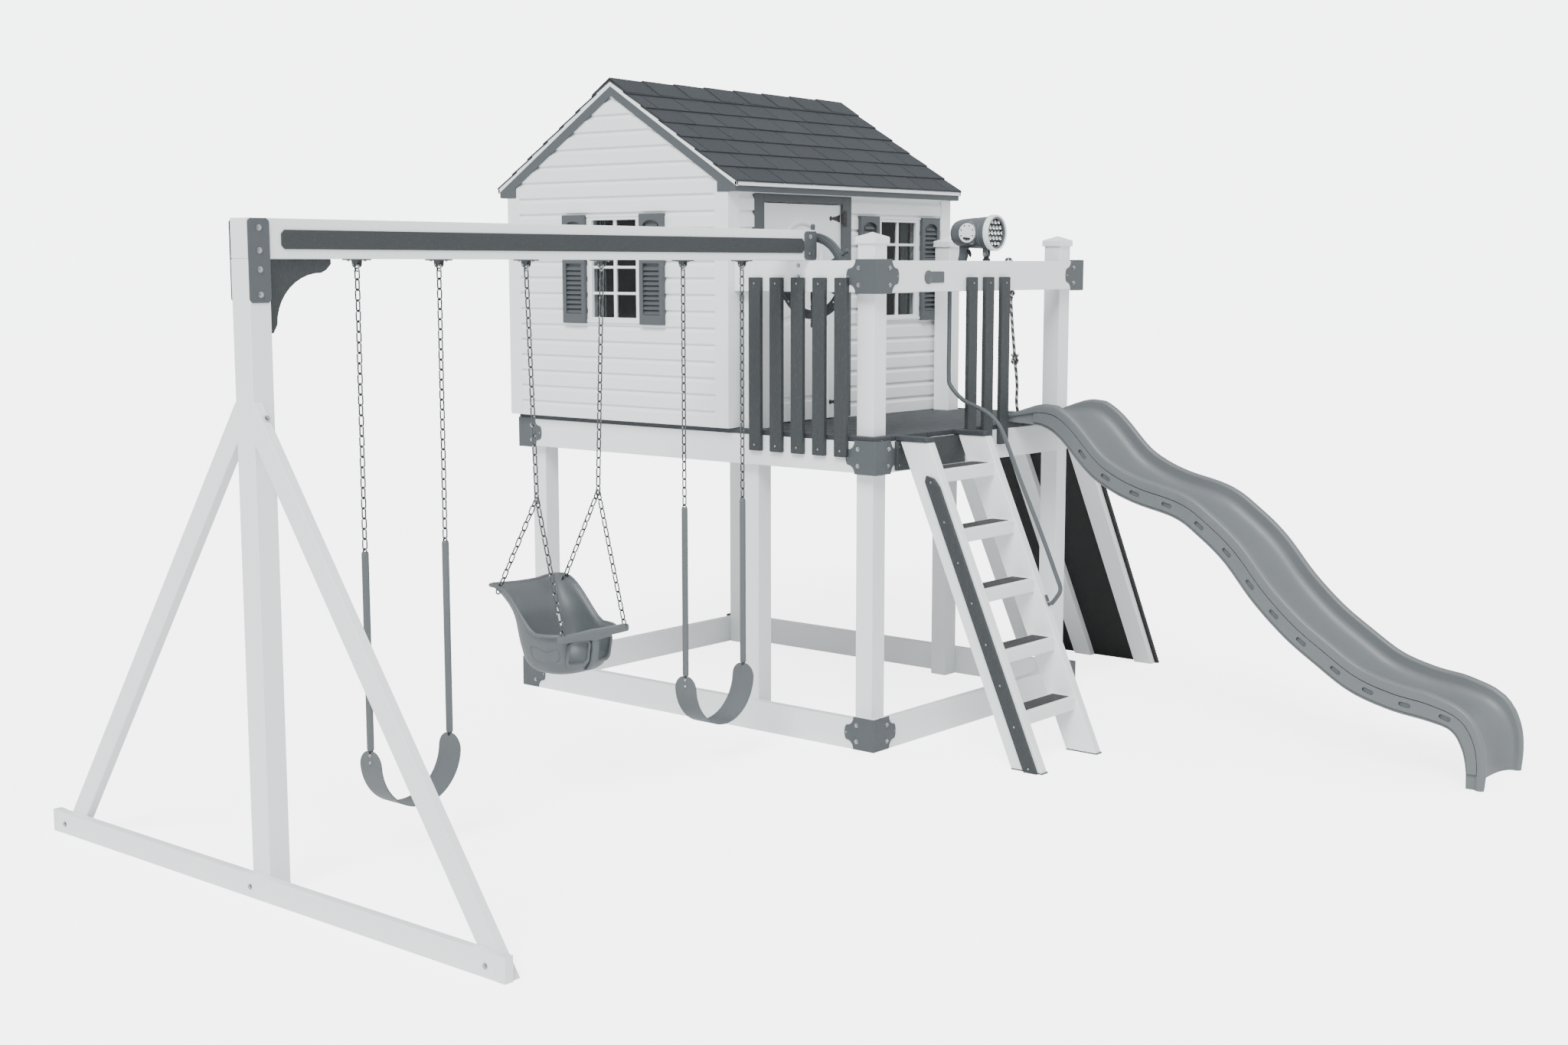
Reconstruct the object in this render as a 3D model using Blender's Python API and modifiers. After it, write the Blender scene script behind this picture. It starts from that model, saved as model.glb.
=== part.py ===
"""Raised playhouse with porch, slide, ladder, rock wall and a three-bay swing beam.

Metres, +Z up.  The layout frame has its origin at the tower's front left corner on the
ground: +X runs along the swing beam towards the tower, +Y from the porch to the house.
The root empty shifts the whole set so that its footprint is centred on the world origin.
"""
import math

import bmesh
import bpy
from mathutils import Matrix, Vector

# ---------------------------------------------------------------- driving dimensions
gap = 0.0003              # air left between touching pieces
edgeRound = 0.003         # eased edge on sleeves and boards

towerWidth = 1.878        # along X, outside of the boards
towerDepth = 2.496        # along Y, outside of the boards
deckHeight = 1.524        # top of the rim boards
boardThick = 0.050
boardHeight = 0.152
postSize = 0.1014
midPostY = 0.780          # front face of the two posts at the house's front
railTop = deckHeight + 0.870
postRise = 0.106          # post above the rail
capOverhang = 0.010
railEnd = 0.895           # side rails stop just short of the house
capHeight = 0.030
deckThick = 0.025

balusterWidth = 0.077
balusterThick = 0.025
balusterDrop = 0.082      # rail top down to baluster top
balusterFoot = 0.078      # deck height down to baluster foot
leftBalusterStart = 0.198
leftBalusterPitch = 0.1362
leftBalusterCount = 5
frontBalusterStart = 0.788
frontBalusterPitch = 0.149
frontBalusterCount = 3

houseFront = 0.912
houseRear = towerDepth + 0.002
houseLeft = -0.030
houseRight = towerWidth + 0.004
wallThick = 0.050
ridgeTop = deckHeight + 1.819
roofPitch = 0.619
roofThick = 0.045         # measured vertically
eaveOverhang = 0.084
gableOverhang = 0.025
fasciaBottom = deckHeight + 1.214
fasciaThick = 0.020
rakeDrop = 0.050          # rake board, measured vertically
rakeReturn = 0.162

doorLeft = 0.240
doorWidth = 0.650
doorTop = deckHeight + 1.170
doorThick = 0.035
doorGap = 0.004
portholeRadius = 0.180
portholeZ = deckHeight + 0.904
portholeLip = 0.020
portholeSides = 40
portholeRelief = 0.008

windowWidth = 0.391
windowBottom = deckHeight + 0.548
windowTop = deckHeight + 1.108
windowDepth = 0.030
windowProud = 0.016
paneColumns = 2
paneRows = 4
frameBar = 0.0325
muntinBar = 0.016
paneRecess = 0.011
gableWindowY = houseRear - 0.798
porchWindowX = houseRight - 0.482
shutterWidth = 0.168
shutterThick = 0.020
shutterBottom = deckHeight + 0.539
shutterTop = deckHeight + 1.113
shutterGap = 0.006

stringerThick = 0.050
stringerDepth = 0.170     # measured horizontally
ladderLeft = 0.172
ladderInside = 0.444
ladderRun = 0.4375        # run for each metre of rise
riserThick = 0.022
treadCount = 5
treadFirst = deckHeight * 0.17848
treadPitch = deckHeight * 0.18406
treadThick = 0.064
treadDepth = 0.135
treadSet = 0.006

handrailRadius = 0.011
handrailX = 0.700
handrailInside = [(0.0, 0.404), (0.0, 0.574), (0.012, 0.629)]      # shift along Y, drop below the rail
handrailOver = [(-0.03, -0.171), (-0.15, -0.126), (-0.225, -0.076), (-0.275, -0.006), (-0.37, 0.199)]
handrailLow = [(0.105, 0.474), (0.108, 0.664), (0.1043, 0.734), (0.0585, 0.782)]
handrailFoot = 0.824

slideWidth = 0.545
slideRight = towerWidth - 0.155
slideWall = 0.006
slideRim = 0.125
slideStations = 44
slideTopRim = 0.24          # share of the rim's height left over the deck
slideTopRun = 0.260        # run over which the rim grows to its full height
slideFootRim = 0.080
slideFootRun = 0.450       # run over which it drops to the foot's rim
slideSkirt = 0.012

rockLean = 0.600          # run for each metre of rise
rockDrop = 0.014          # deck height down to where the ribs meet the rim
rockWidth = 0.980
ribThick = 0.040
ribWidth = 0.117
ribInset = 0.016
rockPanel = 0.022

ropeRadius = 0.009
ropeY = 0.450
ropeFree = [(-0.025, 0.158), (-0.016, 0.244), (0.004, 0.394), (0.030, 0.544), (0.056, 0.694)]
ropeLaid = [(1.0269, 0.009, 0.0), (0.9186, 0.0, -0.004), (0.7874, 0.0, -0.010), (0.6562, 0.0, -0.006),
            (0.5249, 0.0, 0.0), (0.3937, 0.0, 0.006), (0.2756, 0.0, 0.004)]

beamY = 0.465
beamWidth = 0.102
beamHeight = 0.147
beamEnd = 0.050
mastX = -3.224
mastSizeX = 0.0945
mastSizeY = 0.1074
baseThick = 0.047
baseLap = 0.003           # layout line inside the mast's outer face
baseHeight = 0.092
baseFront = -0.932
baseRear = 1.878
braceThick = 0.040
braceTop = 1.875
braceRise = 0.155         # measured vertically
braceSpread = 1.389       # foot of each brace from the beam's middle

swingPivotDrop = 0.045
hangerLength = 0.110
hangerWidth = 0.040
hangerThick = 0.006
hangerLug = 0.012
chainRadius = 0.006
sleeveRadius = 0.0135
sleeveTop = 1.260
sleeveFoot = 0.461
beltTop = 0.430
beltThick = 0.006
beltWidth = 0.130
outerSwingX = (-2.694, -2.287)
toddlerSwingX = (-1.815, -1.371)
innerSwingX = (-0.848, -0.437)

wheelX = 0.088
wheelY = 0.470
wheelZ = railTop - 0.076
wheelRadius = 0.212
wheelBand = 0.044
wheelThick = 0.030
pegReach = 0.255
pegRadius = 0.012
spokeCount = 6
axleRadius = 0.036

lampX = 1.060
lampPivotY = 0.085
lampPivotZ = railTop + 0.031
lampAxisZ = railTop + 0.143
lampDrop = 0.020          # rail top down to the top of the lamp's base
lampBase = 0.090
lampFront = 0.020
lampRing = 0.093
lampPost = 0.020
lampShellProfile = [(0, 0.270), (0.028, 0.268), (0.052, 0.258), (0.066, 0.238), (0.074, 0.200),
                    (0.079, 0.140), (0.083, 0.060), (0.085, 0.030), (lampRing, 0.029),
                    (lampRing, 0.002), (lampRing - 0.004, 0), (lampRing - 0.012, 0),
                    (lampRing - 0.014, 0.018), (0, 0.018)]
# the grip and trigger outlines are (along Y, height below the lamp's axis)
gripOutline = [(0.205, 0.050), (0.200, 0.082), (0.205, 0.117), (0.222, 0.165), (0.228, 0.192),
               (0.262, 0.197), (0.262, 0.162), (0.250, 0.107), (0.248, 0.050)]
triggerOutline = [(0.1995, 0.085), (0.192, 0.085), (0.184, 0.097), (0.180, 0.112), (0.186, 0.125),
                  (0.194, 0.109), (0.1995, 0.099)]
gripThick = 0.028
triggerThick = 0.012
triggerAxis = (0.196, 0.087)
dialY = 0.150
dialRadius = 0.060
dialReach = (0.040, 0.087)
lugNear = 0.0075
lugFar = 0.017
lugHalf = 0.014
lugReach = 0.020          # pivot down to the yoke, more than the lugs sweep

# ---------------------------------------------------------------- derived places
rimInner = boardThick + gap
houseMidY = (houseFront + houseRear) / 2
houseMidX = (houseLeft + houseRight) / 2
eaveHalf = (houseRear - houseFront) / 2 + eaveOverhang
roofHalfX = (houseRight - houseLeft) / 2 + gableOverhang
deckTop = deckHeight + gap + deckThick
beamBottom = railTop + gap
pivotZ = beamBottom - swingPivotDrop
rockFootIn = towerWidth + gap + (deckHeight - rockDrop) * rockLean
rockSlant = math.hypot(1, rockLean)
rockFootOut = rockFootIn + (ribThick + gap + rockPanel) * rockSlant
baseOuter = mastX + baseLap - baseThick
slideLeft = slideRight - slideWidth
slideDrawn = [(0.035, 1.557), (-0.10, 1.557), (-0.20, 1.545), (-0.30, 1.487), (-0.465, 1.324),
              (-0.60, 1.242), (-0.747, 1.187), (-0.968, 1.132), (-1.102, 1.051), (-1.246, 0.934),
              (-1.401, 0.757), (-1.566, 0.606), (-1.727, 0.494), (-1.909, 0.384), (-2.103, 0.325),
              (-2.29, 0.298), (-2.40, 0.268), (-2.455, 0.195), (-2.477, 0.100), (-2.480, 0.0)]
slideScale = (deckTop + 0.0077) / slideDrawn[0][1]
slideBed = [(y * slideScale, z * slideScale) for y, z in slideDrawn]
slideFrontY = slideBed[-1][0] - slideFootRim - slideWall

footprintLow = Vector((baseOuter, slideFrontY, 0))
footprintHigh = Vector((rockFootOut, houseMidY + eaveHalf, 0))
layoutShift = -(footprintLow + footprintHigh) / 2

X, Y, Z = Vector((1, 0, 0)), Vector((0, 1, 0)), Vector((0, 0, 1))


# ---------------------------------------------------------------- helpers
def clear_scene():
    for item in list(bpy.data.objects):
        bpy.data.objects.remove(item, do_unlink=True)


clear_scene()
parts = bpy.data.collections.new("playhouse_set")
cutters = bpy.data.collections.new("playhouse_set_cutters")
bpy.context.scene.collection.children.link(parts)
bpy.context.scene.collection.children.link(cutters)


def paint(name, colour, roughness, metallic=0.0):
    mat = bpy.data.materials.new(name)
    mat.use_nodes = True
    shader = mat.node_tree.nodes["Principled BSDF"]
    shader.inputs["Base Color"].default_value = (*colour, 1)
    shader.inputs["Roughness"].default_value = roughness
    shader.inputs["Metallic"].default_value = metallic
    return mat


whiteVinyl = paint("white_vinyl", (0.80, 0.83, 0.84), 0.42)
whiteDoor = paint("white_door", (0.78, 0.81, 0.82), 0.38)
polyBoard = paint("poly_board", (0.065, 0.075, 0.078), 0.62)
deckBoard = paint("deck_board", (0.075, 0.086, 0.095), 0.60)
slatePaint = paint("slate_paint", (0.145, 0.165, 0.180), 0.50)
shingleGrit = paint("shingle_grit", (0.085, 0.100, 0.115), 0.88)
slidePlastic = paint("slide_plastic", (0.235, 0.265, 0.280), 0.40)
swingPlastic = paint("swing_plastic", (0.190, 0.220, 0.232), 0.46)
zincChain = paint("zinc_chain", (0.62, 0.65, 0.66), 0.32, 1.0)
blackRubber = paint("black_panel", (0.012, 0.012, 0.013), 0.80)
ropeFibre = paint("rope_fibre", (0.16, 0.17, 0.17), 0.85)
steelTube = paint("steel_tube", (0.135, 0.155, 0.168), 0.42)
lampShell = paint("lamp_shell", (0.130, 0.150, 0.165), 0.45)
blackPlastic = paint("black_plastic", (0.015, 0.015, 0.016), 0.45)


def empty_at(name, place, parent=None):
    axis = bpy.data.objects.new(name, None)
    axis.empty_display_size = 0.1
    parts.objects.link(axis)
    axis["layout"] = tuple(place)
    axis.parent = parent
    axis.location = Vector(place) - (Vector(parent["layout"]) if parent else Vector())
    return axis


root = empty_at("playset_frame", (0, 0, 0))
root.location = layoutShift


def settle(item, name, mat, parent=root):
    """Name a piece, give it its material and hang it from an empty at its layout place."""
    item.name = name
    item.data.name = name
    for group in list(item.users_collection):
        group.objects.unlink(item)
    parts.objects.link(item)
    item.data.materials.clear()
    item.data.materials.append(mat)
    item.parent = parent
    item.location = item.location - Vector(parent["layout"])
    return item


def apply_scale(item):
    item.data.transform(Matrix.Diagonal((*item.scale, 1)))
    item.scale = (1, 1, 1)


def ease(item, width=edgeRound, segments=1):
    bevel = item.modifiers.new("eased_edges", "BEVEL")
    bevel.width = width
    bevel.segments = segments
    bevel.limit_method = "ANGLE"


def smooth(item, angle=35):
    item.data.shade_smooth()
    item.data.set_sharp_from_angle(angle=math.radians(angle))


def raw_block(low, high):
    low, high = Vector(low), Vector(high)
    bpy.ops.mesh.primitive_cube_add(size=1, location=(low + high) / 2)
    item = bpy.context.object
    item.scale = high - low
    apply_scale(item)
    return item


def block(name, low, high, mat, parent=root, round_by=edgeRound):
    item = settle(raw_block(low, high), name, mat, parent)
    ease(item, round_by)
    return item


def raw_rod(start, end, radius, sides=16):
    start, end = Vector(start), Vector(end)
    run = end - start
    bpy.ops.mesh.primitive_cylinder_add(vertices=sides, radius=radius, depth=run.length,
                                        location=(start + end) / 2)
    item = bpy.context.object
    item.rotation_euler = run.to_track_quat("Z", "Y").to_euler()
    return item


def bake(item):
    """Put rotation and location into the mesh, so that unions share one frame."""
    bpy.context.view_layer.update()
    item.data.transform(item.matrix_world)
    item.matrix_world = Matrix()
    return item


planes = {"X": Matrix(((0, 0, 1), (1, 0, 0), (0, 1, 0))),
          "Y": Matrix(((1, 0, 0), (0, 0, -1), (0, 1, 0)))}


def raw_plate(outline, normal, start, thickness):
    """A flat outline in YZ (normal X) or XZ (normal Y), from start along the normal."""
    curve = bpy.data.curves.new("outline", "CURVE")
    curve.dimensions = "2D"
    curve.fill_mode = "BOTH"
    curve.extrude = thickness / 2
    spline = curve.splines.new("POLY")
    spline.points.add(len(outline) - 1)
    for point, (a, b) in zip(spline.points, outline):
        point.co = (a, b, 0, 1)
    spline.use_cyclic_u = True
    item = bpy.data.objects.new("outline", curve)
    parts.objects.link(item)
    item.matrix_world = planes[normal].to_4x4()
    middle = start + thickness / 2
    item.location = (X if normal == "X" else Y) * middle
    return item


def as_mesh(item):
    """Turn a curve object into a welded mesh object in the same place."""
    bpy.context.view_layer.update()
    solid = bpy.data.meshes.new_from_object(item.evaluated_get(bpy.context.evaluated_depsgraph_get()))
    form = bmesh.new()
    form.from_mesh(solid)
    bmesh.ops.remove_doubles(form, verts=form.verts, dist=0.00005)
    bmesh.ops.recalc_face_normals(form, faces=form.faces)
    form.to_mesh(solid)
    form.free()
    twin = bpy.data.objects.new(item.name, solid)
    twin.matrix_world = item.matrix_world.copy()
    parts.objects.link(twin)
    bpy.data.objects.remove(item, do_unlink=True)
    return bake(twin)


def plate(name, outline, normal, start, thickness, mat, parent=root):
    return settle(as_mesh(raw_plate(outline, normal, start, thickness)), name, mat, parent)


def combine(item, other, operation):
    """Union or cut with a hidden helper object that stays live."""
    if other.type == "CURVE":
        other = as_mesh(other)
    for group in list(other.users_collection):
        group.objects.unlink(other)
    cutters.objects.link(other)
    other.display_type = "WIRE"
    other.hide_render = True
    other.parent = root
    other.name = f"{item.name}_{operation.lower()}_tool"
    step = item.modifiers.new(operation.lower(), "BOOLEAN")
    step.operation = operation
    step.object = other
    return item


def turned(profile, turns=24):
    """A closed turned form about local Z from a profile that runs top to bottom."""
    mesh = bpy.data.meshes.new("profile")
    form = bmesh.new()
    rim = [form.verts.new((r, 0, z)) for r, z in profile]
    for a, b in zip(rim, rim[1:]):
        form.edges.new((a, b))
    form.to_mesh(mesh)
    form.free()
    item = bpy.data.objects.new("turned", mesh)
    parts.objects.link(item)
    screw = item.modifiers.new("turn", "SCREW")
    screw.steps = screw.render_steps = turns
    screw.use_merge_vertices = True
    screw.merge_threshold = 0.00005
    screw.use_smooth_shade = True
    return item


def spline_through(points, steps):
    """Points on a Catmull-Rom curve through the given ones."""
    points = [Vector(p) for p in points]
    ends = [2 * points[0] - points[1]] + points + [2 * points[-1] - points[-2]]
    path = []
    for a, b, c, d in zip(ends, ends[1:], ends[2:], ends[3:]):
        for step in range(steps):
            t = step / steps
            path.append(0.5 * (2 * b + (c - a) * t + (2 * a - 5 * b + 4 * c - d) * t * t
                               + (3 * b - a - 3 * c + d) * t ** 3))
    return path + [points[-1]]


def raw_tube(points, radius, resolution=2):
    curve = bpy.data.curves.new("tube", "CURVE")
    curve.dimensions = "3D"
    curve.bevel_depth = radius
    curve.bevel_resolution = resolution
    curve.use_fill_caps = True
    spline = curve.splines.new("POLY")
    spline.points.add(len(points) - 1)
    for point, place in zip(spline.points, points):
        point.co = (*place, 1)
    item = bpy.data.objects.new("tube", curve)
    parts.objects.link(item)
    return item


# ---------------------------------------------------------------- tower
def make_post(name, x, y, top, capped):
    post = block(name, (x, y, 0), (x + postSize, y + postSize, top), whiteVinyl)
    if capped:
        half = postSize / 2 + capOverhang
        bpy.ops.mesh.primitive_cone_add(vertices=4, radius1=half * math.sqrt(2), radius2=0.004,
                                        depth=capHeight + 0.012)
        cap = bpy.context.object
        cap.rotation_euler.z = math.pi / 4
        cap.location = (x + postSize / 2, y + postSize / 2, top + capHeight / 2 - 0.006)
        combine(post, bake(cap), "UNION")
    return post


def make_tower():
    left, right = rimInner, towerWidth - rimInner - postSize
    front, rear = rimInner, towerDepth - rimInner - postSize
    tall = railTop + postRise
    make_post("post_front_left", left, front, tall, True)
    make_post("post_front_right", right, front, tall, True)
    make_post("post_mid_left", left, midPostY, tall, True)
    make_post("post_mid_right", right, midPostY, tall, True)
    make_post("post_rear_left", left, rear, deckHeight, False)
    make_post("post_rear_right", right, rear, deckHeight, False)
    make_ring("ground_frame", 0, boardHeight)
    make_ring("deck_rim", deckHeight - boardHeight, deckHeight)


def make_ring(name, low, high):
    """Four boards around the tower, joined at their corners."""
    ring = block(name, (0, 0, low), (towerWidth, towerDepth, high), whiteVinyl)
    ring.modifiers.clear()
    hollow = raw_block((boardThick, boardThick, low - 0.1),
                       (towerWidth - boardThick, towerDepth - boardThick, high + 0.1))
    combine(ring, hollow, "DIFFERENCE")
    return ring


def make_deck():
    deck = block("deck", (0, 0, deckHeight + gap), (towerWidth, towerDepth, deckTop), deckBoard)
    deck.modifiers.clear()
    tall = [(rimInner, rimInner), (towerWidth - rimInner - postSize, rimInner),
            (rimInner, midPostY), (towerWidth - rimInner - postSize, midPostY)]
    for x, y in tall:
        hole = raw_block((x - gap, y - gap, deckHeight - 0.05),
                         (x + postSize + gap, y + postSize + gap, deckTop + 0.05))
        combine(deck, hole, "DIFFERENCE")
    ladderRight = ladderLeft + 2 * stringerThick + ladderInside
    for start in (ladderLeft, ladderRight - stringerThick):
        nose = raw_block((start, -riserThick - stringerDepth, deckHeight + gap),
                         (start + stringerThick, 0.05, deckTop))
        combine(deck, nose, "UNION")


def make_top_rail():
    low = railTop - boardHeight
    rail = block("top_rail", (0, 0, low), (towerWidth, boardThick, railTop), whiteVinyl)
    rail.modifiers.clear()
    for start in (0, towerWidth - boardThick):
        side = raw_block((start, 0.02, low), (start + boardThick, railEnd, railTop))
        combine(rail, side, "UNION")


def make_balusters():
    low, high = deckHeight - balusterFoot, railTop - balusterDrop
    half = balusterWidth / 2
    for index in range(leftBalusterCount):
        y = leftBalusterStart + index * leftBalusterPitch
        block(f"left_baluster_{index + 1}", (-balusterThick - gap, y - half, low),
              (-gap, y + half, high), polyBoard)
    for index in range(frontBalusterCount):
        x = frontBalusterStart + index * frontBalusterPitch
        block(f"front_baluster_{index + 1}", (x - half, -balusterThick - gap, low),
              (x + half, -gap, high), polyBoard)


# ---------------------------------------------------------------- house
def roof_under(y):
    return ridgeTop - roofThick - roofPitch * abs(y - houseMidY)


def make_house_walls():
    low = deckTop + gap

    def gable(inset):
        front, rear = houseFront + inset, houseRear - inset
        base = low if inset == 0 else low - 0.1
        lift = gap + inset * rockSlant
        return [(front, base), (rear, base), (rear, roof_under(rear) - lift),
                (houseMidY, roof_under(houseMidY) - lift), (front, roof_under(front) - lift)]

    walls = plate("house_walls", gable(0), "X", houseLeft, houseRight - houseLeft, whiteVinyl)
    room = raw_plate(gable(wallThick), "X", houseLeft + wallThick,
                     houseRight - houseLeft - 2 * wallThick)
    combine(walls, room, "DIFFERENCE")
    doorway = raw_block((doorLeft, houseFront - 0.1, low - 0.1),
                        (doorLeft + doorWidth, houseFront + 0.1, doorTop))
    combine(walls, doorway, "DIFFERENCE")
    half = windowWidth / 2 + gap
    for low_corner, high_corner in (
            ((houseLeft - 0.1, gableWindowY - half, windowBottom - gap),
             (houseLeft + 0.1, gableWindowY + half, windowTop + gap)),
            ((porchWindowX - half, houseFront - 0.1, windowBottom - gap),
             (porchWindowX + half, houseFront + 0.1, windowTop + gap))):
        combine(walls, raw_block(low_corner, high_corner), "DIFFERENCE")


def make_roof():
    low, high = houseMidY - eaveHalf, houseMidY + eaveHalf
    outline = [(low, roof_under(low)), (houseMidY, roof_under(houseMidY)), (high, roof_under(high)),
               (high, roof_under(high) + roofThick), (houseMidY, ridgeTop),
               (low, roof_under(low) + roofThick)]
    plate("roof", outline, "X", houseMidX - roofHalfX, 2 * roofHalfX, shingleGrit)


def make_roof_trim():
    """Rake boards on both gables with level returns, tied by the two fascia boards."""
    reach = eaveHalf - 0.015
    turn = reach - rakeReturn
    half = []
    for side in (-1, 1):
        edge, inner = houseMidY + side * reach, houseMidY + side * turn
        half.append([(edge, roof_under(edge) - gap), (edge, fasciaBottom), (inner, fasciaBottom),
                     (inner, roof_under(inner) - gap - rakeDrop)])
    peak = roof_under(houseMidY) - gap
    outline = half[0] + [(houseMidY, peak - rakeDrop)] + half[1][::-1] + [(houseMidY, peak)]
    first, last = houseLeft - gap - fasciaThick, houseRight + gap
    trim = plate("roof_trim", outline, "X", first, fasciaThick, slatePaint)
    combine(trim, raw_plate(outline, "X", last, fasciaThick), "UNION")
    for side in (-1, 1):
        outer = houseMidY + side * reach
        inner = outer - side * fasciaThick
        board = raw_block((first, min(outer, inner), fasciaBottom),
                          (last + fasciaThick, max(outer, inner), roof_under(outer) - gap))
        combine(trim, board, "UNION")


def make_door():
    hinge = Vector((doorLeft + doorWidth - doorGap, houseFront + gap, deckTop))
    axis = empty_at("door_axis", hinge, root)
    low, high = deckTop + gap + doorGap, doorTop - doorGap
    door = block("door", (doorLeft + doorGap, houseFront + gap, low),
                 (doorLeft + doorWidth - doorGap, houseFront + gap + doorThick, high), whiteDoor, axis)
    door.modifiers.clear()
    middle = doorLeft + doorWidth / 2
    rim = raw_rod((middle, houseFront - portholeRelief, portholeZ),
                  (middle, houseFront + portholeLip, portholeZ), portholeRadius, portholeSides)
    combine(door, bake(rim), "UNION")
    pane = raw_rod((middle, houseFront - 0.05, portholeZ), (middle, houseFront + 0.001, portholeZ),
                   portholeRadius - portholeLip, portholeSides)
    combine(door, bake(pane), "DIFFERENCE")


def make_window(name, normal, middle):
    """Frame, muntins and glazing in one unit, built facing the front and turned if needed."""
    half = windowWidth / 2
    unit = raw_block((-half, -windowProud, windowBottom), (half, windowDepth, windowTop))
    unit = settle(unit, name, whiteVinyl)
    paneWide = (windowWidth - 2 * frameBar - (paneColumns - 1) * muntinBar) / paneColumns
    paneHigh = (windowTop - windowBottom - 2 * frameBar - (paneRows - 1) * muntinBar) / paneRows
    grid = bpy.data.meshes.new("panes")
    form = bmesh.new()
    for column in range(paneColumns):
        for row in range(paneRows):
            x = -half + frameBar + column * (paneWide + muntinBar) + paneWide / 2
            z = windowBottom + frameBar + row * (paneHigh + muntinBar) + paneHigh / 2
            place = Matrix.Translation((x, -windowProud, z))
            size = Matrix.Diagonal((paneWide, 2 * paneRecess, paneHigh, 1))
            bmesh.ops.create_cube(form, size=1, matrix=place @ size)
    form.to_mesh(grid)
    form.free()
    panes = bpy.data.objects.new("panes", grid)
    parts.objects.link(panes)
    combine(unit, panes, "DIFFERENCE")
    if normal == "X":
        turn = Matrix.Rotation(-math.pi / 2, 4, "Z")
        place = Matrix.Translation((houseLeft, middle, 0))
    else:
        turn = Matrix()
        place = Matrix.Translation((middle, houseFront, 0))
    tool = unit.modifiers[0].object
    unit.data.transform(Matrix.Translation(unit.location))
    unit.data.transform(place @ turn)
    unit.location = (0, 0, 0)
    tool.data.transform(place @ turn)
    return unit


def make_shutters():
    reach = windowWidth / 2 + shutterGap
    for side, name in ((-1, "front"), (1, "rear")):
        near = gableWindowY + side * reach
        far = near + side * shutterWidth
        block(f"gable_shutter_{name}", (houseLeft - gap - shutterThick, min(near, far), shutterBottom),
              (houseLeft - gap, max(near, far), shutterTop), slatePaint)
    for side, name in ((-1, "left"), (1, "right")):
        near = porchWindowX + side * reach
        far = near + side * shutterWidth
        block(f"porch_shutter_{name}", (min(near, far), houseFront - gap - shutterThick, shutterBottom),
              (max(near, far), houseFront - gap, shutterTop), slatePaint)


# ---------------------------------------------------------------- ladder and handrail
def make_ladder():
    top = deckHeight
    back = -riserThick - gap
    run = top * ladderRun
    outline = [(back, top), (back - run, 0), (back - run - stringerDepth, 0),
               (back - stringerDepth, top)]
    inner = ladderLeft + stringerThick
    plate("ladder_stringer_left", outline, "X", ladderLeft, stringerThick, whiteVinyl)
    plate("ladder_stringer_right", outline, "X", inner + ladderInside, stringerThick, whiteVinyl)
    for index in range(treadCount):
        high = treadFirst + index * treadPitch
        front = back - stringerDepth - (top - high) * ladderRun + treadSet
        block(f"ladder_tread_{index + 1}", (inner + gap, front, high - treadThick),
              (inner + ladderInside - gap, front + treadDepth, high), whiteVinyl)


def ladder_front(z):
    """Front edge of the stringers at a height."""
    return -riserThick - gap - stringerDepth - (deckHeight - z) * ladderRun


def make_handrail():
    """Steel tube from the inside of the rail, out through the gap and down the stringer."""
    top = railTop - boardHeight / 2
    inside = boardThick + gap + handrailRadius + 0.002
    path = [(inside, top), *[(inside - shift, railTop - drop) for shift, drop in handrailInside]]
    path += [(y, deckHeight - drop) for y, drop in handrailOver]
    for proud, drop in handrailLow:
        path.append((ladder_front(deckHeight - drop) - proud, deckHeight - drop))
    foot = deckHeight - handrailFoot
    path.append((ladder_front(foot) - handrailRadius * 1.35, foot + 0.012))
    points = spline_through([(handrailX, y, z) for y, z in path], 4)
    settle(raw_tube(points, handrailRadius, 3), "handrail", steelTube)


# ---------------------------------------------------------------- slide
def make_slide():
    """A channel lofted along its bed: rolled rims, flared walls and outer skirts."""
    bed = spline_through([(0, y, z) for y, z in slideBed], 6)
    length = [0.0]
    for a, b in zip(bed, bed[1:]):
        length.append(length[-1] + (b - a).length)
    stations = []
    for index in range(slideStations + 1):
        want = length[-1] * index / slideStations
        at = next(i for i, reach in enumerate(length) if reach >= want - 1e-9)
        at = max(at, 1)
        t = (want - length[at - 1]) / (length[at] - length[at - 1])
        stations.append((bed[at - 1].lerp(bed[at], t), (bed[at] - bed[at - 1]).normalized(), want))
    form = bmesh.new()
    rows = []
    for place, along, want in stations:
        up = Vector((0, along.z, -along.y))
        left = length[-1] - want
        rim = slideRim * (slideTopRim + (1 - slideTopRim) * min(1.0, want / slideTopRun))
        if left < slideFootRun:
            rim = slideFootRim + (rim - slideFootRim) * left / slideFootRun
        skirt = min(slideSkirt, rim * 0.1) * min(1.0, left / 0.2)
        if left < 1e-6:
            up, skirt = Vector((0, -1, 0)), 0.0
        section = half_section(rim, skirt)
        full = section + [(slideWidth - u, v) for u, v in section[::-1]]
        rows.append([form.verts.new(place + Vector((slideLeft + u, 0, 0)) + up * v) for u, v in full])
    for a, b in zip(rows, rows[1:]):
        for i in range(len(a) - 1):
            form.faces.new((a[i], b[i], b[i + 1], a[i + 1]))
    bmesh.ops.recalc_face_normals(form, faces=form.faces)
    if sum(face.normal.z for face in form.faces) < 0:
        bmesh.ops.reverse_faces(form, faces=form.faces)
    mesh = bpy.data.meshes.new("slide")
    form.to_mesh(mesh)
    form.free()
    slide = bpy.data.objects.new("slide", mesh)
    settle(link(slide), "slide", slidePlastic)
    wall = slide.modifiers.new("wall", "SOLIDIFY")
    wall.thickness = slideWall
    wall.offset = -1
    smooth(slide, 50)


def link(item):
    parts.objects.link(item)
    return item


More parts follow.
